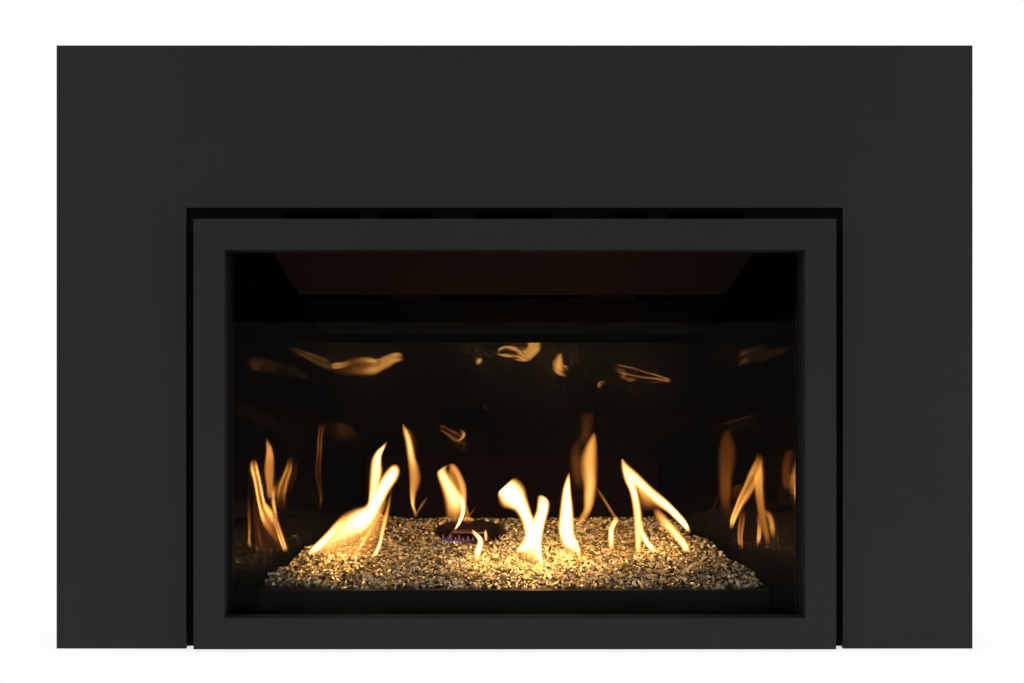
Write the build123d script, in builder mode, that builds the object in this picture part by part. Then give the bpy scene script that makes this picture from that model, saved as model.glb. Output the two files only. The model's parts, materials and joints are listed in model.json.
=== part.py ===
"""Gas fireplace insert: firebox, convection casing, window, face frame and surround panel.

Millimetres. X runs to the right, Y to the back, Z up. The origin is the centre of the
overall box, on the hearth. Depths are counted backwards from the surround's front face.
"""
from build123d import *
from math import atan2, cos, hypot, radians, sin, tan
import os

os.makedirs("parts", exist_ok=True)

# ---------------------------------------------------------------- driving dimensions
# surround panel and face frame
surround_width = 1041.4
surround_height = 685.8
surround_opening_width = 746.6
surround_opening_height = 501.3
surround_sheet = 1.5
surround_return = 24.0
surround_inner_return = 11.0
face_side_gap = 10.8
face_top_gap = 13.0
face_lift = 2.8
face_width = surround_opening_width - 2 * face_side_gap
face_height = surround_opening_height - face_top_gap - face_lift
face_rail = 35.7
face_sheet = 1.5
face_proud = 20.0
face_depth = 24.0

# sheet metal
sheet = 1.5
liner_sheet = 3.0
contact_gap = 0.3
running_clearance = 0.05

# casing
casing_depth = 400.0
casing_side_inset = 0.5
casing_back_inset = 72.0
casing_half_width = face_width / 2 - casing_side_inset
casing_back_half_width = casing_half_width - casing_back_inset
casing_taper_start = 180.0
casing_base_sheet = 2.0
casing_top_drop = 1.3
casing_top_level = surround_opening_height - casing_top_drop

# window
window_inset = 22.5
window_half_width = face_width / 2 - window_inset
window_bottom = 10.0
window_top = surround_opening_height - face_top_gap - window_inset
window_rail = 16.0
glass_thickness = 5.0
gasket_thickness = 4.0
gasket_width = 12.0

# front plate
plate_depth = 19.5
plate_sheet = 2.0
plate_side_lap = 21.7
plate_top_lap = 23.7
plate_half_width = surround_opening_width / 2 + plate_side_lap
plate_top = surround_opening_height + plate_top_lap
firebox_opening_inset = 18.0
firebox_opening_half_width = window_half_width - firebox_opening_inset
firebox_opening_bottom = 26.0
firebox_opening_top_inset = 12.0
firebox_opening_top = window_top - firebox_opening_top_inset
outlet_slot_height = 16.0
outlet_slot_drop = 12.3
outlet_slot_level = surround_opening_height - outlet_slot_drop
outlet_slot_width = 90.0
outlet_slot_pitch = 110.0
outlet_slot_count = 5

# firebox and liner
chamber_back_room = 88.0
chamber_rear_depth = casing_depth - chamber_back_room
chamber_taper_run = 292.5
chamber_taper_rise = 134.0
chamber_taper = chamber_taper_rise * (chamber_rear_depth - plate_depth) / chamber_taper_run
chamber_rear_half_width = firebox_opening_half_width - chamber_taper
liner_gap = 3.0
firebox_top_drop = 32.0
firebox_top_level = casing_top_level - firebox_top_drop
gutter_level = 24.0
platform_level = 46.0
step_depth = 68.0
reflector_foot_level = 190.0
reflector_top_drop = 129.0
reflector_top_level = firebox_top_level - reflector_top_drop
reflector_reach = 97.0
strip_gap = 11.0
strip_lean = 55.0
strip_top_depth = chamber_rear_depth - reflector_reach - strip_lean
strip_top_drop = 73.0
strip_top_level = firebox_top_level - strip_top_drop
baffle_front_depth = 44.0
baffle_fold_depth = 97.0
baffle_front_drop = 15.0
baffle_fall = 54.0
baffle_front_level = firebox_top_level - baffle_front_drop
baffle_rear_level = baffle_front_level - baffle_fall
hanger_width = 60.0
hanger_spread = 120.0

# burner and fire glass
tray_sheet = 1.2
tray_lip_level = 56.0
tray_rear_lip_level = 109.0
tray_side_clearance = 1.0
burner_side_room = 28.0
burner_half_length = chamber_rear_half_width - burner_side_room
burner_front_depth = 135.0
burner_rear_room = 37.0
burner_rear_depth = chamber_rear_depth - burner_rear_room
burner_length = burner_rear_depth - burner_front_depth
burner_height = 20.0
port_radius = 1.5
port_pitch = 20.0
port_rows = 3
bed_front_level = 56.0
bed_rear_level = 110.0
bed_crown = 6.0
pocket_width = 94.0
pocket_length = 66.0
pocket_centre_x = -53.0
pocket_rear_room = 59.0
pocket_centre_depth = chamber_rear_depth - pocket_rear_room
pocket_corner = 12.0

# pilot
hood_width = 58.0
hood_height = 30.0
hood_length = 24.0
hood_setback = 12.0
hood_shoulder = 0.6
electrode_radius = 2.5
electrode_height = 20.0
electrode_collar = 0.7
sensor_radius = 3.0
sensor_height = 24.0
sensor_rounding = 0.8
probe_spread = 27.0

# gas train
mixer_setback = 15.0
mixer_depth = burner_front_depth + mixer_setback
mixer_radius = 5.0
shutter_outer_radius = 8.0
shutter_length = 11.0
shutter_tab = 7.0
shutter_tab_sheet = 2.0
valve_width = 57.0
valve_length = 65.0
valve_height = 90.0
valve_bottom = 44.0
valve_front_reach = 50.0
valve_front_depth = mixer_depth - valve_front_reach
valve_side_gap = 3.0
valve_outlet_boss = 8.0
valve_socket = 12.0
flex_valve_level = 84.0
fitting_length = 8.0
line_end_run = 55.0
line_bend_share = 0.45
knob_edge = 12.0
knob_x = face_width / 2 - knob_edge
knob_radius = 8.5
knob_length = 12.0
knob_front_depth = 4.0
knob_shaft_radius = 3.0
knob_flutes = 16
knob_flute_radius = 1.1
knob_pointer_width = 1.6
knob_pointer_height = 1.0
gas_knob_level = 72.0
flame_knob_level = 112.0
gas_line_inset = 28.0
gas_line_x = casing_back_half_width - gas_line_inset
gas_line_level = 40.0
gas_line_radius = 6.0
gas_fitting_radius = 11.0
gas_thread_radius = 8.0
gas_thread_length = 14.0
hex_margin = 4.0
shutoff_body_radius = 14.0
shutoff_back_room = 42.0
shutoff_pivot_depth = casing_depth - shutoff_back_room
shutoff_lever_length = 55.0
shutoff_stem_radius = 4.0
shutoff_stem_height = 6.0
lever_width = 12.0
lever_sheet = 3.0
lever_hub_margin = 2.0

# igniter, switch box
igniter_level = 160.0
igniter_radius = 7.5
igniter_length = 45.0
button_radius = 4.5
button_travel = 4.0
button_proud = 2.0
bezel_proud = 3.5
button_bore_length = 9.0
rocker_level = 82.0
rocker_height = 18.0
rocker_width = 10.0
rocker_thickness = 6.0
rocker_play = 0.7
rocker_rim = 1.5
rocker_pin_radius = 1.2
rocker_pivot_proud = 1.0
rocker_pocket_length = 4.0
speed_knob_level = 124.0
speed_socket_length = 20.0
switch_box_width = 24.0
switch_box_height = 90.0
switch_box_length = 32.0
socket_width = 28.0
socket_height = 20.0
socket_wall = 3.0
socket_length = 30.0
socket_flange = 5.0
prong_pitch = 7.0
prong_width = 1.6
prong_height = 5.0
prong_length = 10.0

# blower
rotor_radius = 26.0
rotor_half_length = 150.0
rotor_centre_x = -40.0
rotor_blades = 24
rotor_blade_height = 7.0
rotor_blade_sheet = 1.2
rotor_blade_angle = 28.0
rotor_blade_relief = 0.5
blower_back_room = 40.0
blower_depth = casing_depth - blower_back_room
blower_level = 42.0
scroll_clearance = 3.5
scroll_margin = 3.0
scroll_open_angle = 70.0
scroll_sweep = 200.0
blower_end_gap = 4.0
blower_end_plate = 2.0
blower_shaft_radius = 3.0
motor_radius = 22.0
motor_length = 36.0
motor_socket = 10.0
motor_foot_share = 0.8

# vents
vent_radius = 38.1
vent_wall = 1.2
vent_spread = 85.0
vent_back_room = 135.0
vent_depth = casing_depth - vent_back_room
vent_height = 45.0
vent_flange = 10.0
duct_inner_x = 40.0
duct_outer_x = 130.0
duct_depth_size = 25.0
duct_foot_level = 92.0
duct_margin = 10.0
duct_mouth_height = 36.0
duct_mouth_rise = 8.0
duct_front_margin = 4.0

# relief flaps
flap_length = 50.0
flap_width = 110.0
flap_spread = 170.0
flap_front_depth = 70.0
flap_overlap = 6.0
flap_rod_radius = 1.5
flap_rod_offset = 3.0
knuckle_width = 3.0
knuckle_reach = 1.5
knuckle_length = 7.0
knuckle_height = 6.0
flap_curl = 4.0

# latches, posts, brackets, screws
latch_spread = 200.0
latch_width = 14.0
latch_sheet = 3.2
latch_pin_radius = 2.0
latch_barrel_radius = 4.0
latch_pin_depth = 10.0
latch_pin_rise = 11.0
latch_pin_level = window_top + latch_pin_rise
latch_overlap = 8.0
latch_foot_level = window_top - latch_overlap
latch_tip_rise = 18.0
latch_tip_level = window_top + latch_tip_rise
latch_ear = 2.0
latch_ear_height = 12.0
latch_end_gap = 0.4
post_radius = 6.0
post_inset = 11.5
magnet_thickness = 3.0
bracket_width = 40.0
bracket_foot = 14.0
bracket_low_level = 150.0
bracket_high_drop = 101.3
bracket_high_level = surround_opening_height - bracket_high_drop
bracket_spread = 220.0
anchor_inset = 24.0
anchor_x = casing_half_width - anchor_inset
anchor_front_depth = 45.0
anchor_rear_depth = 150.0
anchor_radius = 4.5
screw_radius = 4.0
screw_head = 3.0
screw_edge = 10.0
screw_depths = (40.0, 110.0, 175.0, 250.0, 330.0)
screw_back_pitch = 180.0
screw_back_count = 3
ledge_half_length = 250.0
bore_clearance = 0.6

# ---------------------------------------------------------------- worked out from them
overall_depth = face_proud + casing_depth
surround_y = face_proud - overall_depth / 2
chamber_front_depth = plate_depth
chamber_slope = ((firebox_opening_half_width - chamber_rear_half_width)
                 / (chamber_rear_depth - chamber_front_depth))
skew = hypot(1, chamber_slope)
shell_inner = liner_sheet + liner_gap
shell_outer = shell_inner + sheet
back_wall_depth = chamber_rear_depth + liner_sheet + liner_gap
plate_front_depth = plate_depth - plate_sheet
window_front_depth = plate_front_depth - gasket_thickness - glass_thickness - sheet
tray_floor = platform_level + tray_sheet
burner_top = tray_floor + burner_height
reflector_top_depth = chamber_rear_depth - reflector_reach
face_top = face_lift + face_height
mixer_level = tray_floor + burner_height / 2


def y_at(depth):
    """Y of a depth behind the surround's front face."""
    return surround_y + depth


def facing(depth):
    """Plane at a depth, seen from the front: local X and Y are X and Z, normal to the viewer."""
    return Plane.XZ.offset(-y_at(depth))


def half_at(depth, outward=0.0):
    """Half width of the tapered chamber at a depth, on a face this far outside the liner."""
    return firebox_opening_half_width - (depth - chamber_front_depth) * chamber_slope + outward * skew


def casing_half_at(depth, inward=0.0):
    """Half width of the casing at a depth."""
    taper = (casing_half_width - casing_back_half_width) / (casing_depth - casing_taper_start)
    return casing_half_width - max(0.0, depth - casing_taper_start) * taper - inward


def chamber_plan(front, rear, outward):
    """Corners of the tapered plan between two depths."""
    return [
        (-half_at(front, outward), y_at(front)),
        (half_at(front, outward), y_at(front)),
        (half_at(rear, outward), y_at(rear)),
        (-half_at(rear, outward), y_at(rear)),
    ]


def casing_plan(front, rear, inward):
    """Corners of the casing's plan: parallel sides, then a taper to the back."""
    return [
        (-casing_half_at(front, inward), y_at(front)),
        (casing_half_at(front, inward), y_at(front)),
        (casing_half_at(casing_taper_start, inward), y_at(casing_taper_start)),
        (casing_half_at(rear, inward), y_at(rear)),
        (-casing_half_at(rear, inward), y_at(rear)),
        (-casing_half_at(casing_taper_start, inward), y_at(casing_taper_start)),
    ]


def side_strip(side, front, rear, inner, outer):
    """Plan of one slanted side wall between two faces parallel to the liner."""
    return [
        (side * half_at(front, inner), y_at(front)),
        (side * half_at(front, outer), y_at(front)),
        (side * half_at(rear, outer), y_at(rear)),
        (side * half_at(rear, inner), y_at(rear)),
    ]


def save(piece, name):
    """Label a finished piece and write it under its name."""
    piece.label = name
    export_step(piece, f"parts/{name}.step")


# ---------------------------------------------------------------- surround panel
with BuildPart() as surround_panel:
    with BuildSketch(facing(surround_sheet)):
        with Locations((0, surround_height / 2)):
            Rectangle(surround_width, surround_height)
        with Locations((0, surround_opening_height / 2)):
            Rectangle(surround_opening_width, surround_opening_height, mode=Mode.SUBTRACT)
    extrude(amount=surround_sheet)
    # outer folds, open at the hearth
    with BuildSketch(facing(surround_return)):
        with Locations((0, surround_height / 2)):
            Rectangle(surround_width, surround_height)
        with Locations((0, (surround_height - surround_sheet) / 2)):
            Rectangle(surround_width - 2 * surround_sheet, surround_height - surround_sheet,
                      mode=Mode.SUBTRACT)
    extrude(amount=surround_return - surround_sheet)
    # inner folds round the opening
    with BuildSketch(facing(surround_inner_return)):
        with Locations((0, (surround_opening_height + surround_sheet) / 2)):
            Rectangle(surround_opening_width + 2 * surround_sheet,
                      surround_opening_height + surround_sheet)
        with Locations((0, surround_opening_height / 2)):
            Rectangle(surround_opening_width, surround_opening_height, mode=Mode.SUBTRACT)
    extrude(amount=surround_inner_return - surround_sheet)
save(surround_panel.part, "surround_panel")

# ---------------------------------------------------------------- surround brackets
bracket_side_x = (surround_opening_width / 2 + surround_sheet + plate_half_width) / 2
bracket_top_level = (surround_opening_height + surround_sheet + plate_top) / 2
bracket_places = [(s * bracket_side_x, z, False) for s in (-1, 1)
                  for z in (bracket_low_level, bracket_high_level)]
bracket_places += [(x, bracket_top_level, True) for x in (-bracket_spread, bracket_spread)]
with BuildPart() as surround_brackets:
    # Z-shaped clips: one foot on the front plate, one behind the surround's sheet
    for x, z, level in bracket_places:
        foot = (bracket_width, bracket_foot) if level else (bracket_foot, bracket_width)
        web = (bracket_width, sheet) if level else (sheet, bracket_width)
        with BuildSketch(facing(plate_front_depth)):
            with Locations((x, z)):
                Rectangle(*foot)
        extrude(amount=sheet)
        with BuildSketch(facing(surround_sheet + sheet)):
            with Locations((x, z)):
                Rectangle(*foot)
        extrude(amount=sheet)
        with BuildSketch(facing(plate_front_depth)):
            with Locations((x, z)):
                Rectangle(*web)
        extrude(amount=plate_front_depth - surround_sheet)
save(surround_brackets.part, "surround_brackets")

# ---------------------------------------------------------------- face frame
face_middle = face_lift + face_height / 2
face_rear_depth = face_depth - face_proud
with BuildPart() as face_frame:
    with BuildSketch(facing(face_rear_depth)):
        with Locations((0, face_middle)):
            Rectangle(face_width, face_height)
            Rectangle(face_width - 2 * face_rail, face_height - 2 * face_rail, mode=Mode.SUBTRACT)
    extrude(amount=face_depth)
    # the rails are channels, open to the rear
    with BuildSketch(facing(face_rear_depth)):
        with Locations((0, face_middle)):
            Rectangle(face_width - 2 * face_sheet, face_height - 2 * face_sheet)
            Rectangle(face_width - 2 * face_rail + 2 * face_sheet,
                      face_height - 2 * face_rail + 2 * face_sheet, mode=Mode.SUBTRACT)
    extrude(amount=face_depth - face_sheet, mode=Mode.SUBTRACT)
save(face_frame.part, "face_frame")

# ---------------------------------------------------------------- magnet posts
post_x = face_width / 2 - post_inset
post_low_level = face_lift + post_inset
post_high_level = face_top - post_inset
post_places = [(s * post_x, z) for s in (-1, 1) for z in (post_low_level, post_high_level)]
magnet_back_depth = -face_proud + face_sheet + contact_gap + magnet_thickness
with BuildPart() as magnet_posts:
    with BuildSketch(facing(plate_front_depth)):
        with Locations(*post_places):
            Circle(post_radius)
    extrude(amount=plate_front_depth - magnet_back_depth)
save(magnet_posts.part, "magnet_posts")

with BuildPart() as frame_magnets:
    with BuildSketch(facing(magnet_back_depth)):
        with Locations(*post_places):
            Circle(post_radius)
    extrude(amount=magnet_thickness)
save(frame_magnets.part, "frame_magnets")

# ---------------------------------------------------------------- window
window_middle = (window_bottom + window_top) / 2
window_height = window_top - window_bottom
glass_back_depth = window_front_depth + sheet + glass_thickness
with BuildPart() as window_frame:
    with BuildSketch(facing(glass_back_depth)):
        with Locations((0, window_middle)):
            Rectangle(2 * window_half_width, window_height)
            Rectangle(2 * (window_half_width - window_rail), window_height - 2 * window_rail,
                      mode=Mode.SUBTRACT)
    extrude(amount=sheet + glass_thickness)
    # rebate that holds the glass
    with BuildSketch(facing(glass_back_depth)):
        with Locations((0, window_middle)):
            Rectangle(2 * (window_half_width - sheet), window_height - 2 * sheet)
    extrude(amount=glass_thickness, mode=Mode.SUBTRACT)
save(window_frame.part, "window_frame")

with BuildPart() as window_glass:
    with BuildSketch(facing(glass_back_depth)):
        with Locations((0, window_middle)):
            Rectangle(2 * (window_half_width - sheet - contact_gap),
                      window_height - 2 * (sheet + contact_gap))
    extrude(amount=glass_thickness)
save(window_glass.part, "window_glass")

with BuildPart() as window_gasket:
    with BuildSketch(facing(plate_front_depth)):
        with Locations((0, window_middle)):
            Rectangle(2 * window_half_width - 4 * sheet, window_height - 4 * sheet)
            Rectangle(2 * (window_half_width - gasket_width - 2 * sheet),
                      window_height - 2 * gasket_width - 4 * sheet, mode=Mode.SUBTRACT)
    extrude(amount=gasket_thickness)
save(window_gasket.part, "window_gasket")

with BuildPart() as window_ledge:
    # angle under the window's lower edge
    with BuildSketch(Plane.YZ):
        with BuildLine():
            Polyline(
                (y_at(plate_front_depth), window_bottom - contact_gap),
                (y_at(window_front_depth), window_bottom - contact_gap),
                (y_at(window_front_depth), window_bottom - contact_gap - sheet),
                (y_at(plate_front_depth - sheet), window_bottom - contact_gap - sheet),
                (y_at(plate_front_depth - sheet), face_lift),
                (y_at(plate_front_depth), face_lift),
                close=True,
            )
        make_face()
    extrude(amount=ledge_half_length, both=True)
save(window_ledge.part, "window_ledge")

# ---------------------------------------------------------------- window latches
latch_front_depth = window_front_depth - contact_gap - latch_sheet
for latch_name, latch_x in (("left_latch", -latch_spread), ("right_latch", latch_spread)):
    with BuildPart() as latch:
        with BuildSketch(Plane.YZ.offset(latch_x - latch_width / 2)):
            with Locations((y_at(latch_front_depth + latch_sheet / 2),
                            (latch_foot_level + latch_tip_level) / 2)):
                Rectangle(latch_sheet, latch_tip_level - latch_foot_level)
            with Locations(((y_at(latch_front_depth) + y_at(latch_pin_depth)) / 2, latch_pin_level)):
                Rectangle(latch_pin_depth - latch_front_depth, latch_barrel_radius)
            with Locations((y_at(latch_pin_depth), latch_pin_level)):
                Circle(latch_barrel_radius)
                Circle(latch_pin_radius + running_clearance, mode=Mode.SUBTRACT)
        extrude(amount=latch_width)
    save(latch.part, latch_name)

with BuildPart() as latch_brackets:
    for latch_x in (-latch_spread, latch_spread):
        for side in (-1, 1):
            near = latch_x + side * (latch_width / 2 + latch_end_gap + latch_ear / 2)
            with BuildSketch(Plane.YZ.offset(near - latch_ear / 2)):
                with Locations(((y_at(plate_front_depth) + y_at(latch_pin_depth)) / 2, latch_pin_level)):
                    Rectangle(plate_front_depth - latch_pin_depth, latch_ear_height)
                with Locations((y_at(latch_pin_depth), latch_pin_level)):
                    Circle(latch_ear_height / 2)
            extrude(amount=latch_ear)
        with BuildSketch(Plane.YZ.offset(latch_x)):
            with Locations((y_at(latch_pin_depth), latch_pin_level)):
                Circle(latch_pin_radius)
        extrude(amount=latch_width / 2 + latch_end_gap + latch_ear, both=True)
        with BuildSketch(facing(plate_front_depth)):
            with Locations((latch_x, latch_pin_level)):
                Rectangle(latch_width + 2 * (latch_end_gap + latch_ear), latch_ear_height)
        extrude(amount=sheet)
save(latch_brackets.part, "latch_brackets")

# ---------------------------------------------------------------- front plate
knob_bores = [(knob_x, gas_knob_level), (knob_x, flame_knob_level)]
igniter_neck_radius = igniter_radius - sheet
rocker_neck = (rocker_width + 2 * rocker_rim, rocker_height + 2 * rocker_rim)
with BuildPart() as front_plate:
    with BuildSketch(facing(plate_depth)):
        with Locations((0, plate_top / 2)):
            Rectangle(2 * plate_half_width, plate_top)
        with Locations((0, (firebox_opening_bottom + firebox_opening_top) / 2)):
            Rectangle(2 * firebox_opening_half_width, firebox_opening_top - firebox_opening_bottom,
                      mode=Mode.SUBTRACT)
        with Locations(*knob_bores):
            Circle(knob_shaft_radius + bore_clearance, mode=Mode.SUBTRACT)
        with Locations((-knob_x, speed_knob_level)):
            Circle(knob_shaft_radius + bore_clearance, mode=Mode.SUBTRACT)
        with Locations((knob_x, igniter_level)):
            Circle(igniter_neck_radius, mode=Mode.SUBTRACT)
        with Locations((-knob_x, rocker_level)):
            Rectangle(*rocker_neck, mode=Mode.SUBTRACT)
        # warm air leaves over the window
        with Locations((0, outlet_slot_level)):
            with GridLocations(outlet_slot_pitch, 1, outlet_slot_count, 1):
                Rectangle(outlet_slot_width, outlet_slot_height, mode=Mode.SUBTRACT)
    extrude(amount=plate_sheet)
save(front_plate.part, "front_plate")

# ---------------------------------------------------------------- casing
with BuildPart() as casing_base:
    with BuildSketch(Plane.XY):
        with BuildLine():
            Polyline(*casing_plan(plate_depth, casing_depth, 0), close=True)
        make_face()
        for depth in (anchor_front_depth, anchor_rear_depth):
            with Locations((-anchor_x, y_at(depth)), (anchor_x, y_at(depth))):
                Circle(anchor_radius, mode=Mode.SUBTRACT)
    extrude(amount=casing_base_sheet)
save(casing_base.part, "casing_base")

back_inner_depth = casing_depth - sheet
for side_name, side in (("casing_left_side", -1), ("casing_right_side", 1)):
    with BuildPart() as casing_side:
        with BuildSketch(Plane.XY.offset(casing_base_sheet)):
            with BuildLine():
                Polyline(
                    (side * casing_half_at(plate_depth), y_at(plate_depth)),
                    (side * casing_half_at(casing_taper_start), y_at(casing_taper_start)),
                    (side * casing_half_at(back_inner_depth), y_at(back_inner_depth)),
                    (side * casing_half_at(back_inner_depth, sheet), y_at(back_inner_depth)),
                    (side * casing_half_at(casing_taper_start, sheet), y_at(casing_taper_start)),
                    (side * casing_half_at(plate_depth, sheet), y_at(plate_depth)),
                    close=True,
                )
            make_face()
        extrude(amount=casing_top_level - casing_base_sheet)
    save(casing_side.part, side_name)

inlet_socket = (socket_width, socket_height)
with BuildPart() as casing_back:
    with BuildSketch(facing(casing_depth)):
        with Locations((0, (casing_base_sheet + casing_top_level) / 2)):
            Rectangle(2 * casing_half_at(casing_depth), casing_top_level - casing_base_sheet)
        with Locations((gas_line_x, gas_line_level)):
            Circle(gas_fitting_radius, mode=Mode.SUBTRACT)
        with Locations((-gas_line_x, gas_line_level)):
            Rectangle(*inlet_socket, mode=Mode.SUBTRACT)
    extrude(amount=sheet)
save(casing_back.part, "casing_back")

with BuildPart() as casing_top:
    with BuildSketch(Plane.XY.offset(casing_top_level)):
        with BuildLine():
            Polyline(*casing_plan(plate_depth, casing_depth, 0), close=True)
        make_face()
        with Locations((-vent_spread, y_at(vent_depth)), (vent_spread, y_at(vent_depth))):
            Circle(vent_radius, mode=Mode.SUBTRACT)
    extrude(amount=sheet)
save(casing_top.part, "casing_top")

with BuildPart() as casing_screws:
    # pan heads round the top cover
    with BuildSketch(Plane.XY.offset(casing_top_level + sheet)):
        for side in (-1, 1):
            for depth in screw_depths:
                with Locations((side * (casing_half_at(depth) - screw_edge), y_at(depth))):
                    Circle(screw_radius)
        with Locations((0, y_at(casing_depth - screw_edge))):
            with GridLocations(screw_back_pitch, 1, screw_back_count, 1):
                Circle(screw_radius)
    extrude(amount=screw_head)
    fillet(casing_screws.edges().group_by(Axis.Z)[-1], radius=screw_head / 2)
save(casing_screws.part, "casing_screws")

# ---------------------------------------------------------------- firebox
with BuildPart() as firebox_floor:
    # front gutter, riser and raised platform
    with BuildSketch(Plane.YZ):
        with BuildLine():
            Polyline(
                (y_at(plate_depth), gutter_level),
                (y_at(step_depth), gutter_level),
                (y_at(step_depth), platform_level),
                (y_at(back_wall_depth), platform_level),
                (y_at(back_wall_depth), platform_level - sheet),
                (y_at(step_depth + sheet), platform_level - sheet),
                (y_at(step_depth + sheet), gutter_level - sheet),
                (y_at(plate_depth), gutter_level - sheet),
                close=True,
            )
        make_face()
    extrude(amount=firebox_opening_half_width * 2, both=True)
    with BuildSketch(Plane.XY):
        with BuildLine():
            Polyline(*chamber_plan(plate_depth, back_wall_depth, shell_inner), close=True)
        make_face()
    extrude(amount=firebox_top_level, mode=Mode.INTERSECT)
save(firebox_floor.part, "firebox_floor")

wall_bottom = gutter_level - sheet
for wall_name, side in (("firebox_left_wall", -1), ("firebox_right_wall", 1)):
    with BuildPart() as firebox_wall:
        with BuildSketch(Plane.XY.offset(wall_bottom)):
            with BuildLine():
                Polyline(*side_strip(side, plate_depth, back_wall_depth, shell_inner, shell_outer),
                         close=True)
            make_face()
        extrude(amount=firebox_top_level - wall_bottom)
        if side > 0:
            with BuildSketch(Plane.YZ):
                with Locations((y_at(mixer_depth), mixer_level)):
                    Circle(mixer_radius)
            extrude(amount=casing_half_width, mode=Mode.SUBTRACT)
    save(firebox_wall.part, wall_name)

duct_mouth_width = duct_outer_x - duct_inner_x - 2 * duct_margin
duct_mouth_level = duct_foot_level + duct_mouth_rise + duct_mouth_height / 2
duct_middle_x = (duct_inner_x + duct_outer_x) / 2
with BuildPart() as firebox_back_wall:
    with BuildSketch(facing(back_wall_depth + sheet)):
        with Locations((0, (wall_bottom + firebox_top_level) / 2)):
            Rectangle(2 * half_at(back_wall_depth, shell_outer), firebox_top_level - wall_bottom)
        with Locations((duct_middle_x, duct_mouth_level)):
            Rectangle(duct_mouth_width, duct_mouth_height, mode=Mode.SUBTRACT)
    extrude(amount=sheet)
save(firebox_back_wall.part, "firebox_back_wall")

flap_hole_depth = flap_front_depth + flap_length / 2
flap_rod_depth = flap_front_depth + flap_length + flap_rod_offset
flap_rod_level = firebox_top_level + sheet + flap_rod_offset
with BuildPart() as firebox_top:
    with BuildSketch(Plane.XY.offset(firebox_top_level)):
        with BuildLine():
            Polyline(*chamber_plan(plate_depth, back_wall_depth + sheet, shell_outer), close=True)
        make_face()
        with Locations((-vent_spread, y_at(vent_depth))):
            Circle(vent_radius - vent_wall, mode=Mode.SUBTRACT)
        with Locations((-flap_spread, y_at(flap_hole_depth)), (flap_spread, y_at(flap_hole_depth))):
            Rectangle(flap_width - 2 * flap_overlap, flap_length - 2 * flap_overlap, mode=Mode.SUBTRACT)
    extrude(amount=sheet)
    # knuckles that carry the flaps' rods
    for side in (-1, 1):
        for end in (-1, 1):
            knuckle_x = side * flap_spread + end * (flap_width / 2 + knuckle_width)
            with BuildSketch(Plane.YZ.offset(knuckle_x - knuckle_width / 2)):
                with Locations((y_at(flap_rod_depth), flap_rod_level)):
                    Rectangle(knuckle_length, knuckle_height)
                    Circle(flap_rod_radius + running_clearance, mode=Mode.SUBTRACT)
            extrude(amount=knuckle_width)
save(firebox_top.part, "firebox_top")

flap_level = firebox_top_level + sheet + contact_gap
for flap_name, flap_x in (("left_relief_flap", -flap_spread), ("right_relief_flap", flap_spread)):
    with BuildPart() as relief_flap:
        with BuildSketch(Plane.XY.offset(flap_level)):
            with Locations((flap_x, y_at(flap_hole_depth))):
                Rectangle(flap_width, flap_length)
        extrude(amount=sheet)
        # hinge rod along the rear edge, and the curl that holds it
        with BuildSketch(Plane.YZ.offset(flap_x)):
            with Locations((y_at(flap_rod_depth), flap_rod_level)):
                Circle(flap_rod_radius)
        extrude(amount=flap_width / 2 + knuckle_reach * knuckle_width, both=True)
        with BuildSketch(Plane.YZ.offset(flap_x)):
            with Locations((y_at(flap_rod_depth - flap_curl / 2), flap_level + sheet)):
                Rectangle(flap_curl, 2 * sheet)
        extrude(amount=flap_width / 2, both=True)
    save(relief_flap.part, flap_name)

# ---------------------------------------------------------------- liner panels
liner_bottom = gutter_level
liner_top = firebox_top_level - contact_gap
for panel_name, side in (("left_liner", -1), ("right_liner", 1)):
    with BuildPart() as side_liner:
        with BuildSketch(Plane.XY.offset(platform_level)):
            with BuildLine():
                Polyline(*side_strip(side, plate_depth, chamber_rear_depth, 0, liner_sheet), close=True)
            make_face()
        extrude(amount=liner_top - platform_level)
        with BuildSketch(Plane.XY.offset(liner_bottom)):
            with BuildLine():
                Polyline(*side_strip(side, plate_depth, step_depth, 0, liner_sheet), close=True)
            make_face()
        extrude(amount=platform_level - liner_bottom)
        if side > 0:
            with BuildSketch(Plane.YZ):
                with Locations((y_at(mixer_depth), mixer_level)):
                    Circle(mixer_radius)
            extrude(amount=casing_half_width, mode=Mode.SUBTRACT)
    save(side_liner.part, panel_name)

with BuildPart() as lower_back_liner:
    with BuildSketch(facing(chamber_rear_depth + liner_sheet)):
        with Locations((0, (platform_level + reflector_foot_level) / 2)):
            Rectangle(2 * half_at(chamber_rear_depth + liner_sheet), reflector_foot_level - platform_level)
    extrude(amount=liner_sheet)
save(lower_back_liner.part, "lower_back_liner")

reflector_rise = reflector_top_level - reflector_foot_level
reflector_tilt = atan2(reflector_reach, reflector_rise)
reflector_drop = liner_sheet / cos(reflector_tilt)
with BuildPart() as leaning_reflector:
    # leans towards the window and mirrors the fire bed
    with BuildSketch(Plane.YZ):
        with BuildLine():
            Polyline(
                (y_at(chamber_rear_depth), reflector_foot_level),
                (y_at(reflector_top_depth), reflector_top_level),
                (y_at(reflector_top_depth + reflector_drop), reflector_top_level),
                (y_at(chamber_rear_depth + reflector_drop), reflector_foot_level),
                close=True,
            )
        make_face()
    extrude(amount=firebox_opening_half_width, both=True)
    with BuildSketch(Plane.XY):
        with BuildLine():
            Polyline(*chamber_plan(plate_depth, chamber_rear_depth + reflector_drop, -contact_gap),
                     close=True)
        make_face()
    extrude(amount=firebox_top_level, mode=Mode.INTERSECT)
save(leaning_reflector.part, "leaning_reflector")

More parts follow.
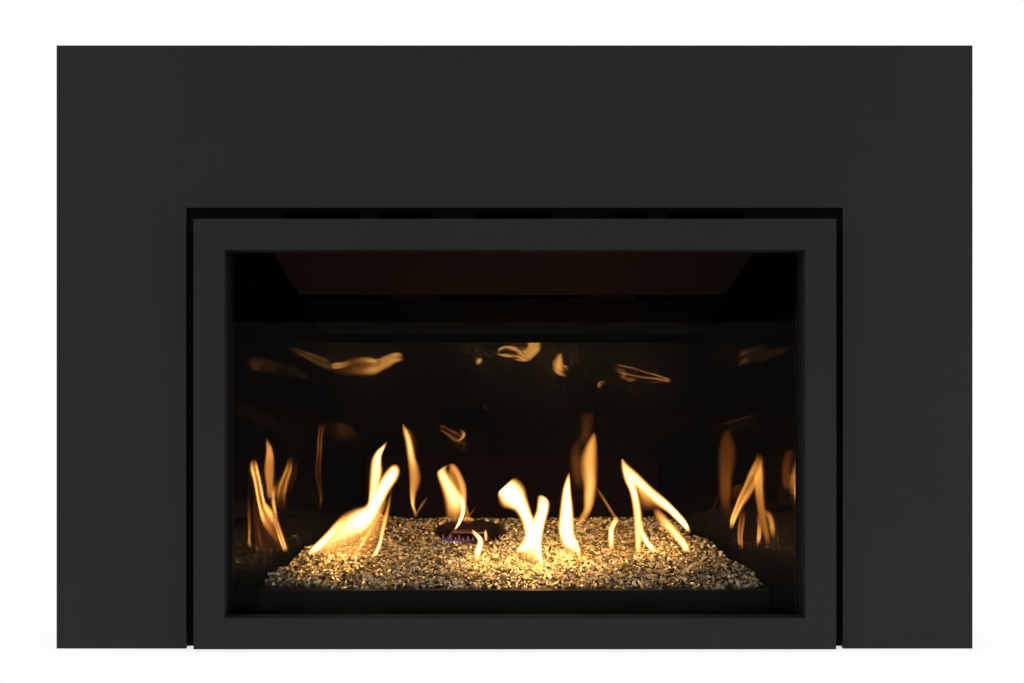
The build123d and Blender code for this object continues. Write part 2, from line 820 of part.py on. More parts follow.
strip_bottom_level = reflector_top_level + strip_gap
strip_tilt = atan2(reflector_top_depth - strip_top_depth, strip_top_level - strip_bottom_level)
strip_drop = liner_sheet / cos(strip_tilt)
with BuildPart() as upper_back_strip:
    # leans further forward than the panel below it
    with BuildSketch(Plane.YZ):
        with BuildLine():
            Polyline(
                (y_at(reflector_top_depth), strip_bottom_level),
                (y_at(strip_top_depth), strip_top_level),
                (y_at(strip_top_depth + strip_drop), strip_top_level),
                (y_at(reflector_top_depth + strip_drop), strip_bottom_level),
                close=True,
            )
        make_face()
    extrude(amount=firebox_opening_half_width, both=True)
    with BuildSketch(Plane.XY):
        with BuildLine():
            Polyline(*chamber_plan(plate_depth, chamber_rear_depth, -contact_gap), close=True)
        make_face()
    extrude(amount=firebox_top_level, mode=Mode.INTERSECT)
    # feet on the leaning panel's top edge
    with BuildSketch(facing(reflector_top_depth + liner_sheet)):
        for side in (-1, 1):
            with Locations((side * hanger_spread, (reflector_top_level + strip_bottom_level) / 2)):
                Rectangle(hanger_width, strip_gap)
    extrude(amount=sheet)
save(upper_back_strip.part, "upper_back_strip")

with BuildPart() as ceiling_baffle:
    # level behind the window, then falls towards the back strip
    with BuildSketch(Plane.YZ):
        with BuildLine():
            Polyline(
                (y_at(baffle_front_depth), baffle_front_level),
                (y_at(baffle_fold_depth), baffle_front_level),
                (y_at(strip_top_depth), baffle_rear_level),
            )
            offset(amount=liner_sheet, side=Side.LEFT, kind=Kind.INTERSECTION)
        make_face()
    extrude(amount=firebox_opening_half_width, both=True)
    with BuildSketch(Plane.XY):
        with BuildLine():
            Polyline(*chamber_plan(plate_depth, chamber_rear_depth, -contact_gap), close=True)
        make_face()
    extrude(amount=firebox_top_level, mode=Mode.INTERSECT)
    # feet on the back strip's top edge
    with BuildSketch(facing(strip_top_depth + sheet)):
        for side in (-1, 1):
            with Locations((side * hanger_spread, (strip_top_level + baffle_rear_level + sheet) / 2)):
                Rectangle(hanger_width, baffle_rear_level + sheet - strip_top_level)
    extrude(amount=sheet)
save(ceiling_baffle.part, "ceiling_baffle")

# ---------------------------------------------------------------- burner tray
tray_front_depth = step_depth - contact_gap - tray_sheet
tray_rear_depth = chamber_rear_depth - contact_gap
with BuildPart() as burner_tray:
    with BuildSketch(Plane.XY.offset(platform_level)):
        with BuildLine():
            Polyline(*chamber_plan(tray_front_depth, tray_rear_depth, -tray_side_clearance), close=True)
        make_face()
    extrude(amount=tray_sheet)
    # plain front lip, down to the gutter
    with BuildSketch(facing(tray_front_depth + tray_sheet)):
        with Locations((0, (gutter_level + tray_lip_level) / 2)):
            Rectangle(2 * half_at(tray_front_depth + tray_sheet, -tray_side_clearance),
                      tray_lip_level - gutter_level)
    extrude(amount=tray_sheet)
    # rear lip, a low rail behind the glass
    with BuildSketch(facing(tray_rear_depth)):
        with Locations((0, (platform_level + tray_rear_lip_level) / 2)):
            Rectangle(2 * half_at(tray_rear_depth, -tray_side_clearance),
                      tray_rear_lip_level - platform_level)
    extrude(amount=tray_sheet)
save(burner_tray.part, "burner_tray")

# ---------------------------------------------------------------- burner
burner_middle = y_at((burner_front_depth + burner_rear_depth) / 2)
port_columns = int((2 * burner_half_length - port_pitch) / port_pitch)
with BuildPart() as burner_pan:
    with BuildSketch(Plane.XY.offset(tray_floor)):
        with Locations((0, burner_middle)):
            Rectangle(2 * burner_half_length, burner_length)
    extrude(amount=burner_height)
    with BuildSketch(Plane.XY.offset(tray_floor + sheet)):
        with Locations((0, burner_middle)):
            Rectangle(2 * (burner_half_length - sheet), burner_length - 2 * sheet)
    extrude(amount=burner_height - 2 * sheet, mode=Mode.SUBTRACT)
    # gas ports through the top, clear of the pilot bracket
    with BuildSketch(Plane.XY.offset(burner_top)):
        with Locations((0, y_at(burner_front_depth + 2 * port_pitch))):
            with GridLocations(port_pitch, port_pitch, port_columns, port_rows):
                Circle(port_radius)
    extrude(amount=-sheet, mode=Mode.SUBTRACT)
    # mouth for the mixer tube
    with BuildSketch(Plane.YZ.offset(burner_half_length - sheet)):
        with Locations((y_at(mixer_depth), mixer_level)):
            Circle(mixer_radius - sheet)
    extrude(amount=sheet, mode=Mode.SUBTRACT)
save(burner_pan.part, "burner_pan")

# ---------------------------------------------------------------- bed of fire glass
bed_front_depth = tray_front_depth + tray_sheet
bed_rear_depth = tray_rear_depth - tray_sheet
bed_middle_depth = (bed_front_depth + bed_rear_depth) / 2
bed_middle_level = (bed_front_level + bed_rear_level) / 2 + bed_crown
with BuildPart() as fire_glass_bed:
    # a heap that rises to the rear, with a crowned top
    with BuildSketch(Plane.YZ):
        with BuildLine():
            Polyline(
                (y_at(bed_rear_depth), bed_rear_level),
                (y_at(bed_rear_depth), tray_floor),
                (y_at(bed_front_depth), tray_floor),
                (y_at(bed_front_depth), bed_front_level),
            )
            ThreePointArc(
                (y_at(bed_front_depth), bed_front_level),
                (y_at(bed_middle_depth), bed_middle_level),
                (y_at(bed_rear_depth), bed_rear_level),
            )
        make_face()
    extrude(amount=firebox_opening_half_width, both=True)
    with BuildSketch(Plane.XY):
        with BuildLine():
            Polyline(*chamber_plan(plate_depth, chamber_rear_depth, -tray_side_clearance), close=True)
        make_face()
    extrude(amount=firebox_top_level, mode=Mode.INTERSECT)
    # room for the burner, the mixer tube and the pilot pocket
    with BuildSketch(Plane.XY.offset(tray_floor)):
        with Locations((0, burner_middle)):
            Rectangle(2 * burner_half_length, burner_length)
    extrude(amount=burner_height, mode=Mode.SUBTRACT)
    with BuildSketch(Plane.YZ.offset(burner_half_length)):
        with Locations((y_at(mixer_depth), mixer_level)):
            Circle(mixer_radius)
    extrude(amount=burner_half_length, mode=Mode.SUBTRACT)
    with BuildSketch(Plane.XY.offset(tray_floor)):
        with Locations((pocket_centre_x, y_at(pocket_centre_depth))):
            RectangleRounded(pocket_width, pocket_length, pocket_corner)
    extrude(amount=firebox_top_level, mode=Mode.SUBTRACT)
save(fire_glass_bed.part, "fire_glass_bed")

# ---------------------------------------------------------------- pilot
pilot_floor = burner_top + sheet
hood_depth = pocket_centre_depth + hood_setback
with BuildPart() as pilot_hood:
    # bracket plate on the burner, and the bent hood on it, open to the front
    with BuildSketch(Plane.XY.offset(burner_top)):
        with Locations((pocket_centre_x, y_at(pocket_centre_depth))):
            RectangleRounded(pocket_width - 2 * tray_sheet, pocket_length - 2 * tray_sheet,
                             pocket_corner - tray_sheet)
    extrude(amount=sheet)
    with BuildSketch(facing(hood_depth + hood_length / 2)):
        with BuildLine():
            Polyline(
                (pocket_centre_x - hood_width / 2, pilot_floor),
                (pocket_centre_x - hood_width / 2, pilot_floor + hood_height * hood_shoulder),
                (pocket_centre_x - hood_width / 3, pilot_floor + hood_height),
                (pocket_centre_x + hood_width / 3, pilot_floor + hood_height),
                (pocket_centre_x + hood_width / 2, pilot_floor + hood_height * hood_shoulder),
                (pocket_centre_x + hood_width / 2, pilot_floor),
            )
            offset(amount=sheet, side=Side.LEFT)
        make_face()
    extrude(amount=hood_length)
save(pilot_hood.part, "pilot_hood")

probe_y = y_at(hood_depth)
with BuildPart() as spark_electrode:
    with BuildSketch(Plane.XY.offset(pilot_floor)):
        with Locations((pocket_centre_x - probe_spread / 2, probe_y)):
            Circle(electrode_radius)
    extrude(amount=electrode_height * electrode_collar)
    with BuildSketch(Plane.XY.offset(pilot_floor + electrode_height * electrode_collar)):
        with Locations((pocket_centre_x - probe_spread / 2, probe_y)):
            Circle(electrode_radius / 3)
    extrude(amount=electrode_height * (1 - electrode_collar))
save(spark_electrode.part, "spark_electrode")

with BuildPart() as flame_sensor:
    with BuildSketch(Plane.XY.offset(pilot_floor)):
        with Locations((pocket_centre_x + probe_spread / 2, probe_y)):
            Circle(sensor_radius)
    extrude(amount=sensor_height)
    fillet(flame_sensor.edges().group_by(Axis.Z)[-1], radius=sensor_radius * sensor_rounding)
save(flame_sensor.part, "flame_sensor")

# ---------------------------------------------------------------- mixer tube and air shutter
valve_outer_x = casing_half_width - sheet - contact_gap - valve_side_gap
valve_inner_x = valve_outer_x - valve_width
shutter_inner_radius = mixer_radius + running_clearance
shutter_start_x = valve_inner_x - valve_outlet_boss - shutter_length - contact_gap
with BuildPart() as mixer_tube:
    with BuildSketch(Plane.YZ.offset(burner_half_length)):
        with Locations((y_at(mixer_depth), mixer_level)):
            Circle(mixer_radius)
            Circle(mixer_radius - sheet, mode=Mode.SUBTRACT)
    extrude(amount=valve_inner_x - valve_outlet_boss - burner_half_length)
    # air window under the shutter
    with BuildSketch(Plane.XY.offset(mixer_level)):
        with Locations((shutter_start_x + shutter_length / 2, y_at(mixer_depth))):
            Rectangle(shutter_length / 2, mixer_radius)
    extrude(amount=2 * mixer_radius, mode=Mode.SUBTRACT)
save(mixer_tube.part, "mixer_tube")

with BuildPart() as air_shutter:
    with BuildSketch(Plane.YZ.offset(shutter_start_x)):
        with Locations((y_at(mixer_depth), mixer_level)):
            Circle(shutter_outer_radius)
            Circle(shutter_inner_radius, mode=Mode.SUBTRACT)
        with Locations((y_at(mixer_depth) - shutter_outer_radius - shutter_tab / 2 + sheet / 2, mixer_level)):
            Rectangle(shutter_tab + sheet, shutter_tab_sheet)
    extrude(amount=shutter_length)
    with BuildSketch(Plane.XY.offset(mixer_level)):
        with Locations((shutter_start_x + shutter_length / 2, y_at(mixer_depth))):
            Rectangle(shutter_length / 2, mixer_radius)
    extrude(amount=2 * shutter_outer_radius, mode=Mode.SUBTRACT)
save(air_shutter.part, "air_shutter")

# ---------------------------------------------------------------- gas valve
valve_rear_depth = valve_front_depth + valve_length
valve_middle_x = (valve_inner_x + valve_outer_x) / 2
valve_middle_y = y_at((valve_front_depth + valve_rear_depth) / 2)
with BuildPart() as gas_valve:
    with BuildSketch(Plane.XY.offset(valve_bottom)):
        with Locations((valve_middle_x, valve_middle_y)):
            Rectangle(valve_width, valve_length)
    extrude(amount=valve_height)
    chamfer(gas_valve.edges().filter_by(Axis.Y).group_by(Axis.Z)[-1], length=6)
    # sockets for the two knob shafts
    with BuildSketch(facing(valve_front_depth)):
        with Locations(*knob_bores):
            Circle(knob_shaft_radius + running_clearance)
    extrude(amount=-valve_socket, mode=Mode.SUBTRACT)
    # outlet boss to the mixer tube, inlet boss to the flexible line
    with BuildSketch(Plane.YZ.offset(valve_inner_x)):
        with Locations((y_at(mixer_depth), mixer_level)):
            Circle(mixer_radius + sheet)
    extrude(amount=-valve_outlet_boss)
    with BuildSketch(facing(valve_rear_depth)):
        with Locations((valve_middle_x, flex_valve_level)):
            RegularPolygon(gas_line_radius + hex_margin, 6)
    extrude(amount=-fitting_length)
save(gas_valve.part, "gas_valve")

with BuildPart() as valve_bracket:
    # C-shaped stand on the casing's base
    with BuildSketch(facing(valve_rear_depth - sheet)):
        with BuildLine():
            Polyline(
                (valve_inner_x, casing_base_sheet),
                (valve_outer_x, casing_base_sheet),
                (valve_outer_x, casing_base_sheet + sheet),
                (valve_middle_x + sheet, casing_base_sheet + sheet),
                (valve_middle_x + sheet, valve_bottom - sheet),
                (valve_outer_x, valve_bottom - sheet),
                (valve_outer_x, valve_bottom),
                (valve_inner_x, valve_bottom),
                (valve_inner_x, valve_bottom - sheet),
                (valve_middle_x, valve_bottom - sheet),
                (valve_middle_x, casing_base_sheet + sheet),
                (valve_inner_x, casing_base_sheet + sheet),
                close=True,
            )
        make_face()
    extrude(amount=valve_length - 2 * sheet)
save(valve_bracket.part, "valve_bracket")


def build_knob(x, level, shaft_end_depth):
    """Fluted knob with a pointer rib, on its own shaft."""
    with BuildPart() as knob:
        with BuildSketch(facing(knob_front_depth + knob_length)):
            with Locations((x, level)):
                Circle(knob_radius)
                with PolarLocations(knob_radius + knob_flute_radius / 2, knob_flutes):
                    Circle(knob_flute_radius, mode=Mode.SUBTRACT)
        extrude(amount=knob_length)
        with BuildSketch(facing(knob_front_depth)):
            with Locations((x, level + knob_radius / 2)):
                Rectangle(knob_pointer_width, knob_radius - 2 * knob_flute_radius)
        extrude(amount=knob_pointer_height)
        with BuildSketch(facing(shaft_end_depth)):
            with Locations((x, level)):
                Circle(knob_shaft_radius)
        extrude(amount=shaft_end_depth - knob_front_depth - knob_length)
    return knob.part


shaft_end_depth = valve_front_depth + valve_socket - contact_gap
save(build_knob(knob_x, gas_knob_level, shaft_end_depth), "gas_knob")
save(build_knob(knob_x, flame_knob_level, shaft_end_depth), "flame_height_knob")

# ---------------------------------------------------------------- shut-off valve and gas line
shutoff_front_depth = shutoff_pivot_depth - shutoff_body_radius
shutoff_deck = gas_line_level + shutoff_body_radius
lever_seat = shutoff_deck + contact_gap
with BuildPart() as shutoff_valve:
    with BuildSketch(facing(casing_depth)):
        with Locations((gas_line_x, gas_line_level)):
            Circle(gas_fitting_radius)
    extrude(amount=casing_depth - shutoff_pivot_depth)
    with BuildSketch(Plane.XY.offset(gas_line_level - shutoff_body_radius)):
        with Locations((gas_line_x, y_at(shutoff_pivot_depth))):
            Circle(shutoff_body_radius)
    extrude(amount=2 * shutoff_body_radius)
    with BuildSketch(facing(shutoff_pivot_depth)):
        with Locations((gas_line_x, gas_line_level)):
            RegularPolygon(gas_line_radius + hex_margin, 6)
    extrude(amount=shutoff_body_radius + fitting_length)
    # female thread for the house line
    with BuildSketch(facing(casing_depth)):
        with Locations((gas_line_x, gas_line_level)):
            Circle(gas_thread_radius)
    extrude(amount=gas_thread_length, mode=Mode.SUBTRACT)
    # stem that the lever turns on
    with BuildSketch(Plane.XY.offset(shutoff_deck)):
        with Locations((gas_line_x, y_at(shutoff_pivot_depth))):
            Circle(shutoff_stem_radius)
    extrude(amount=shutoff_stem_height)
save(shutoff_valve.part, "shutoff_valve")

with BuildPart() as shutoff_lever:
    with BuildSketch(Plane.XY.offset(lever_seat)):
        with Locations((gas_line_x, y_at(shutoff_pivot_depth))):
            Circle(lever_width / 2 + lever_hub_margin)
        with Locations((gas_line_x, y_at(shutoff_pivot_depth - shutoff_lever_length / 2))):
            Rectangle(lever_width, shutoff_lever_length)
        with Locations((gas_line_x, y_at(shutoff_pivot_depth))):
            Circle(shutoff_stem_radius + running_clearance, mode=Mode.SUBTRACT)
    extrude(amount=lever_sheet)
    fillet(shutoff_lever.edges().filter_by(Axis.Z).group_by(Axis.Y)[0], radius=4)
save(shutoff_lever.part, "shutoff_lever")

line_start_depth = shutoff_front_depth - fitting_length
line_end_depth = valve_rear_depth + fitting_length
line_points = [
    (gas_line_x, y_at(line_start_depth), gas_line_level),
    (gas_line_x, y_at(line_start_depth - line_end_run), gas_line_level),
    (valve_middle_x, y_at(line_end_depth + line_end_run), flex_valve_level),
    (valve_middle_x, y_at(line_end_depth), flex_valve_level),
]


def bend_radii(points):
    """Largest tangent arc that the runs beside each corner allow."""
    corners = [Vector(*p) for p in points]
    radii = []
    for before, here, after in zip(corners, corners[1:], corners[2:]):
        turn = (here - before).get_angle(after - here)
        shorter = min((here - before).length, (after - here).length)
        radii.append(line_bend_share * shorter / tan(radians(turn / 2)))
    return radii


with BuildPart() as gas_flex_line:
    with BuildLine():
        FilletPolyline(*line_points, radius=bend_radii(line_points))
    with BuildSketch(facing(line_start_depth)):
        with Locations((gas_line_x, gas_line_level)):
            Circle(gas_line_radius)
    sweep()
save(gas_flex_line.part, "gas_flex_line")

# ---------------------------------------------------------------- igniter
bezel_depth = plate_front_depth - bezel_proud
button_front_depth = bezel_depth - button_travel - button_proud
button_bore_depth = plate_depth + button_bore_length
with BuildPart() as igniter_body:
    with BuildSketch(facing(plate_depth + igniter_length)):
        with Locations((knob_x, igniter_level)):
            Circle(igniter_radius)
    extrude(amount=igniter_length)
    with BuildSketch(facing(plate_depth)):
        with Locations((knob_x, igniter_level)):
            Circle(igniter_neck_radius)
    extrude(amount=plate_depth - bezel_depth)
    with BuildSketch(facing(button_bore_depth)):
        with Locations((knob_x, igniter_level)):
            Circle(button_radius + running_clearance)
    extrude(amount=button_bore_depth, mode=Mode.SUBTRACT)
save(igniter_body.part, "igniter_body")

with BuildPart() as igniter_button:
    with BuildSketch(facing(button_bore_depth - button_travel - contact_gap)):
        with Locations((knob_x, igniter_level)):
            Circle(button_radius)
    extrude(amount=button_bore_depth - button_travel - contact_gap - button_front_depth)
    fillet(igniter_button.edges().group_by(Axis.Y)[0], radius=1)
save(igniter_button.part, "igniter_button")

# ---------------------------------------------------------------- switch box, rocker, speed knob
box_outer_x = -(casing_half_width - sheet - contact_gap)
box_inner_x = box_outer_x + switch_box_width
box_bottom = rocker_level - rocker_height
rocker_pivot_depth = plate_front_depth - rocker_pivot_proud
with BuildPart() as switch_box:
    with BuildSketch(facing(plate_depth + switch_box_length)):
        with Locations(((box_inner_x + box_outer_x) / 2, box_bottom + switch_box_height / 2)):
            Rectangle(box_inner_x - box_outer_x, switch_box_height)
    extrude(amount=switch_box_length)
    with BuildSketch(facing(plate_depth)):
        with Locations((-knob_x, rocker_level)):
            Rectangle(*rocker_neck)
    extrude(amount=plate_depth - bezel_depth)
    # pocket that the rocker tilts in
    with BuildSketch(facing(plate_depth + rocker_pocket_length)):
        with Locations((-knob_x, rocker_level)):
            Rectangle(rocker_width + 2 * contact_gap, rocker_height + 2 * rocker_play)
    extrude(amount=plate_depth, mode=Mode.SUBTRACT)
    with BuildSketch(facing(plate_depth)):
        with Locations((-knob_x, speed_knob_level)):
            Circle(knob_shaft_radius + running_clearance)
    extrude(amount=-speed_socket_length - contact_gap, mode=Mode.SUBTRACT)
    # pivot bosses beside the rocker
    with BuildSketch(Plane.YZ.offset(-knob_x - rocker_width / 2 - contact_gap)):
        with Locations((y_at(rocker_pivot_depth), rocker_level)):
            Circle(rocker_pin_radius)
    extrude(amount=rocker_width + 2 * contact_gap)
save(switch_box.part, "switch_box")

with BuildPart() as rocker:
    with BuildSketch(Plane.YZ.offset(-knob_x - rocker_width / 2)):
        with Locations((y_at(rocker_pivot_depth), rocker_level)):
            Rectangle(rocker_thickness, rocker_height)
            Circle(rocker_pin_radius + running_clearance, mode=Mode.SUBTRACT)
    extrude(amount=rocker_width)
    fillet(rocker.edges().filter_by(Axis.X).group_by(Axis.Y)[0], radius=1)
save(rocker.part, "rocker")

save(build_knob(-knob_x, speed_knob_level, plate_depth + speed_socket_length), "blower_speed_knob")

# ---------------------------------------------------------------- power inlet
with BuildPart() as power_inlet:
    with BuildSketch(facing(casing_depth)):
        with Locations((-gas_line_x, gas_line_level)):
            Rectangle(*inlet_socket)
    extrude(amount=socket_length)
    with BuildSketch(facing(casing_depth)):
        with Locations((-gas_line_x, gas_line_level)):
            Rectangle(socket_width - 2 * socket_wall, socket_height - 2 * socket_wall)
    extrude(amount=socket_length / 2, mode=Mode.SUBTRACT)
    with BuildSketch(facing(casing_depth - socket_length / 2)):
        with Locations((-gas_line_x, gas_line_level)):
            with GridLocations(prong_pitch, 1, 3, 1):
                Rectangle(prong_width, prong_height)
    extrude(amount=-prong_length)
    # flange on the inside of the casing's back
    with BuildSketch(facing(back_inner_depth)):
        with Locations((-gas_line_x, gas_line_level)):
            Rectangle(socket_width + 2 * socket_flange, socket_height + socket_flange)
            Rectangle(*inlet_socket, mode=Mode.SUBTRACT)
    extrude(amount=sheet)
save(power_inlet.part, "power_inlet")

# ---------------------------------------------------------------- blower
rotor_left_x = rotor_centre_x - rotor_half_length
rotor_right_x = rotor_centre_x + rotor_half_length
housing_left_x = rotor_left_x - blower_end_gap - blower_end_plate
housing_right_x = rotor_right_x + blower_end_gap + blower_end_plate
scroll_radius = rotor_radius + scroll_clearance
plate_half_depth = scroll_radius + scroll_margin
blower_axis = (y_at(blower_depth), blower_level)


def scroll_point(radius, angle):
    """Point round the blower's axis, in the YZ plane."""
    return (blower_axis[0] + radius * cos(radians(angle)), blower_axis[1] + radius * sin(radians(angle)))


with BuildPart() as blower_housing:
    # two end plates that stand on the base
    for start_x in (housing_left_x, housing_right_x - blower_end_plate):
        with BuildSketch(Plane.YZ.offset(start_x)):
            with Locations((y_at(blower_depth), (casing_base_sheet + blower_level + scroll_radius) / 2)):
                Rectangle(2 * plate_half_depth, blower_level + scroll_radius - casing_base_sheet)
            with Locations(blower_axis):
                Circle(blower_shaft_radius + running_clearance, mode=Mode.SUBTRACT)
        extrude(amount=blower_end_plate)
    # scroll sheet round the rotor, open upwards and at the lower front
    with BuildSketch(Plane.YZ.offset(housing_left_x)):
        with BuildLine():
            CenterArc(blower_axis, scroll_radius + sheet, scroll_open_angle, scroll_sweep)
            CenterArc(blower_axis, scroll_radius, scroll_open_angle, scroll_sweep)
            for angle in (scroll_open_angle, scroll_open_angle + scroll_sweep):
                Line(scroll_point(scroll_radius, angle), scroll_point(scroll_radius + sheet, angle))
        make_face()
    extrude(amount=housing_right_x - housing_left_x)
save(blower_housing.part, "blower_housing")

with BuildPart() as blower_rotor:
    for start_x in (rotor_left_x, rotor_right_x - blower_end_plate):
        with BuildSketch(Plane.YZ.offset(start_x)):
            with Locations(blower_axis):
                Circle(rotor_radius)
        extrude(amount=blower_end_plate)
    with BuildSketch(Plane.YZ.offset(rotor_left_x)):
        with Locations(blower_axis):
            with PolarLocations(rotor_radius - rotor_blade_height / 2, rotor_blades):
                Rectangle(rotor_blade_height - rotor_blade_relief, rotor_blade_sheet,
                          rotation=rotor_blade_angle)
    extrude(amount=2 * rotor_half_length)
    with BuildSketch(Plane.YZ.offset(housing_left_x)):
        with Locations(blower_axis):
            Circle(blower_shaft_radius)
    extrude(amount=housing_right_x + motor_socket - contact_gap - housing_left_x)
save(blower_rotor.part, "blower_rotor")

with BuildPart() as blower_motor:
    with BuildSketch(Plane.YZ.offset(housing_right_x)):
        with Locations(blower_axis):
            Circle(motor_radius)
    extrude(amount=motor_length)
    fillet(blower_motor.edges().group_by(Axis.X)[-1], radius=4)
    with BuildSketch(Plane.YZ.offset(housing_right_x)):
        with Locations(blower_axis):
            Circle(blower_shaft_radius + running_clearance)
    extrude(amount=motor_socket, mode=Mode.SUBTRACT)
    # mounting foot
    with BuildSketch(Plane.XY.offset(casing_base_sheet)):
        with Locations((housing_right_x + motor_length / 2, y_at(blower_depth))):
            Rectangle(motor_length / 2, motor_radius)
    extrude(amount=blower_level - casing_base_sheet - motor_radius * motor_foot_share)
save(blower_motor.part, "blower_motor")

# ---------------------------------------------------------------- vents
vent_top_level = casing_top_level + vent_height


def build_collar(x, foot_level):
    """Round vent collar with a flange on the casing's top."""
    with BuildPart() as collar:
        with BuildSketch(Plane.XY.offset(foot_level)):
            with Locations((x, y_at(vent_depth))):
                Circle(vent_radius)
                Circle(vent_radius - vent_wall, mode=Mode.SUBTRACT)
        extrude(amount=vent_top_level - foot_level)
        with BuildSketch(Plane.XY.offset(casing_top_level + sheet)):
            with Locations((x, y_at(vent_depth))):
                Circle(vent_radius + vent_flange)
                Circle(vent_radius - vent_wall, mode=Mode.SUBTRACT)
        extrude(amount=sheet)
    return collar.part


save(build_collar(-vent_spread, firebox_top_level + sheet), "exhaust_collar")
save(build_collar(vent_spread, casing_top_level), "air_inlet_collar")

duct_front_depth = vent_depth - vent_radius - duct_front_margin
duct_foot_depth = back_wall_depth + sheet
duct_rear_depth = duct_foot_depth + duct_depth_size


def duct_profile(inset):
    """Side view of the L-shaped duct, this far inside its outer faces."""
    return [
        (y_at(duct_front_depth + inset), casing_top_level - inset),
        (y_at(duct_rear_depth - inset), casing_top_level - inset),
        (y_at(duct_rear_depth - inset), duct_foot_level + inset),
        (y_at(duct_foot_depth + inset), duct_foot_level + inset),
        (y_at(duct_foot_depth + inset), firebox_top_level + sheet + inset),
        (y_at(duct_front_depth + inset), firebox_top_level + sheet + inset),
    ]


with BuildPart() as combustion_air_duct:
    with BuildSketch(Plane.YZ.offset(duct_inner_x)):
        with BuildLine():
            Polyline(*duct_profile(0), close=True)
        make_face()
    extrude(amount=duct_outer_x - duct_inner_x)
    with BuildSketch(Plane.YZ.offset(duct_inner_x + vent_wall)):
        with BuildLine():
            Polyline(*duct_profile(vent_wall), close=True)
        make_face()
    extrude(amount=duct_outer_x - duct_inner_x - 2 * vent_wall, mode=Mode.SUBTRACT)
    with BuildSketch(Plane.XY.offset(casing_top_level)):
        with Locations((vent_spread, y_at(vent_depth))):
            Circle(vent_radius - vent_wall)
    extrude(amount=-vent_wall, mode=Mode.SUBTRACT)
    with BuildSketch(facing(duct_foot_depth + vent_wall)):
        with Locations((duct_middle_x, duct_mouth_level)):
            Rectangle(duct_mouth_width, duct_mouth_height)
    extrude(amount=vent_wall, mode=Mode.SUBTRACT)
save(combustion_air_duct.part, "combustion_air_duct")

print("overall", surround_width, overall_depth, surround_height)
print("front y", round(y_at(-face_proud), 3), "back y", round(y_at(casing_depth), 3))
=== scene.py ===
# %% [markdown]
# # A gas fireplace insert, dressed for the camera
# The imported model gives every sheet, valve and screw its true place. This lesson adds what
# a drawing leaves out: paint, enamel, crushed glass and fire. Everything is in metres, with
# X to the right, Y to the back and Z up, and the hearth is at Z = 0.

import json
import math

import bpy
from mathutils import Matrix, Vector


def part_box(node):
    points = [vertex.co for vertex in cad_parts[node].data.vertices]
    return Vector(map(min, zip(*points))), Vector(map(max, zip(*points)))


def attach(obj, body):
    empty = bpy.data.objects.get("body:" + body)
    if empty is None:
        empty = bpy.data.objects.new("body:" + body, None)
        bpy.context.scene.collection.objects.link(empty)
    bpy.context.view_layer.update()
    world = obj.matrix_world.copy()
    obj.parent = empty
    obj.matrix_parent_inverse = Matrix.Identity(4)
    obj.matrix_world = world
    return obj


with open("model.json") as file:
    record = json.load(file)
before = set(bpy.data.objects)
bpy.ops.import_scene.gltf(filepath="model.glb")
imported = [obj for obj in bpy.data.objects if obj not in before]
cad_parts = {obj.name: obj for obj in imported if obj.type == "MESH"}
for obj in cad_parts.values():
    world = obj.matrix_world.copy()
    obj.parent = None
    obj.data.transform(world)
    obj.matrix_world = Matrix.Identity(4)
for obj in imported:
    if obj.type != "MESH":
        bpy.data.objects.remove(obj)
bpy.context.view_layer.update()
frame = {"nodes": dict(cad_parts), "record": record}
nodes = frame["nodes"]

# %% [markdown]
# ## The camera
# A product photographer stands back and keeps the camera level, so upright edges stay
# upright. The view is then framed by sliding the lens, not by tilting. The lens here sits
# a little left of the middle and above it, two and a half metres from the surround.

# %% Camera
PICTURE_WIDTH = 1024
PICTURE_HEIGHT = 683
SURROUND_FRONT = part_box("surround_panel")[0].y
METRES_PER_PIXEL = 0.001137
SENSOR_WIDTH = 36.0
CAMERA_DISTANCE = 2.5
CAMERA_X = -0.042
CAMERA_Z = 0.450
AXIS_COLUMN = 477.6
AXIS_ROW = 252.8


def new_object(name, data):
    """New object in the scene."""
    made = bpy.data.objects.new(name, data)
    bpy.context.scene.collection.objects.link(made)
    return made


def from_picture(column, row, depth):
    """Point of the fire that is seen at a place of the picture, this deep behind the surround."""
    scale = METRES_PER_PIXEL * (1 + depth / CAMERA_DISTANCE)
    return Vector((
        CAMERA_X + (column - AXIS_COLUMN) * scale,
        SURROUND_FRONT + depth,
        CAMERA_Z - (row - AXIS_ROW) * scale,
    ))


lens = bpy.data.cameras.new("camera")
lens.sensor_width = SENSOR_WIDTH
lens.lens = SENSOR_WIDTH * CAMERA_DISTANCE / (PICTURE_WIDTH * METRES_PER_PIXEL)
lens.shift_x = (PICTURE_WIDTH / 2 - AXIS_COLUMN) / PICTURE_WIDTH
lens.shift_y = (AXIS_ROW - PICTURE_HEIGHT / 2) / PICTURE_WIDTH
camera = new_object("camera", lens)
camera.location = (CAMERA_X, SURROUND_FRONT - CAMERA_DISTANCE, CAMERA_Z)
camera.rotation_euler = (math.radians(90), 0, 0)
bpy.context.scene.camera = camera
print("lens", round(lens.lens, 1), "shift", round(lens.shift_x, 3), round(lens.shift_y, 3))


# %% [markdown]
# ## Wires that can be reckoned with
# Every finish below is a tree of nodes. A wire stands for one node's output, and every
# sign between wires and numbers adds one Math node, so that a finish reads like a sum.

# %% Wires
def sign(operation, wire_last=False):
    """Method that adds one Math node, with its own wire in the first place or the last."""
    def method(wire, *others):
        return math_node(operation, *((*others, wire) if wire_last else (wire, *others)))
    return method


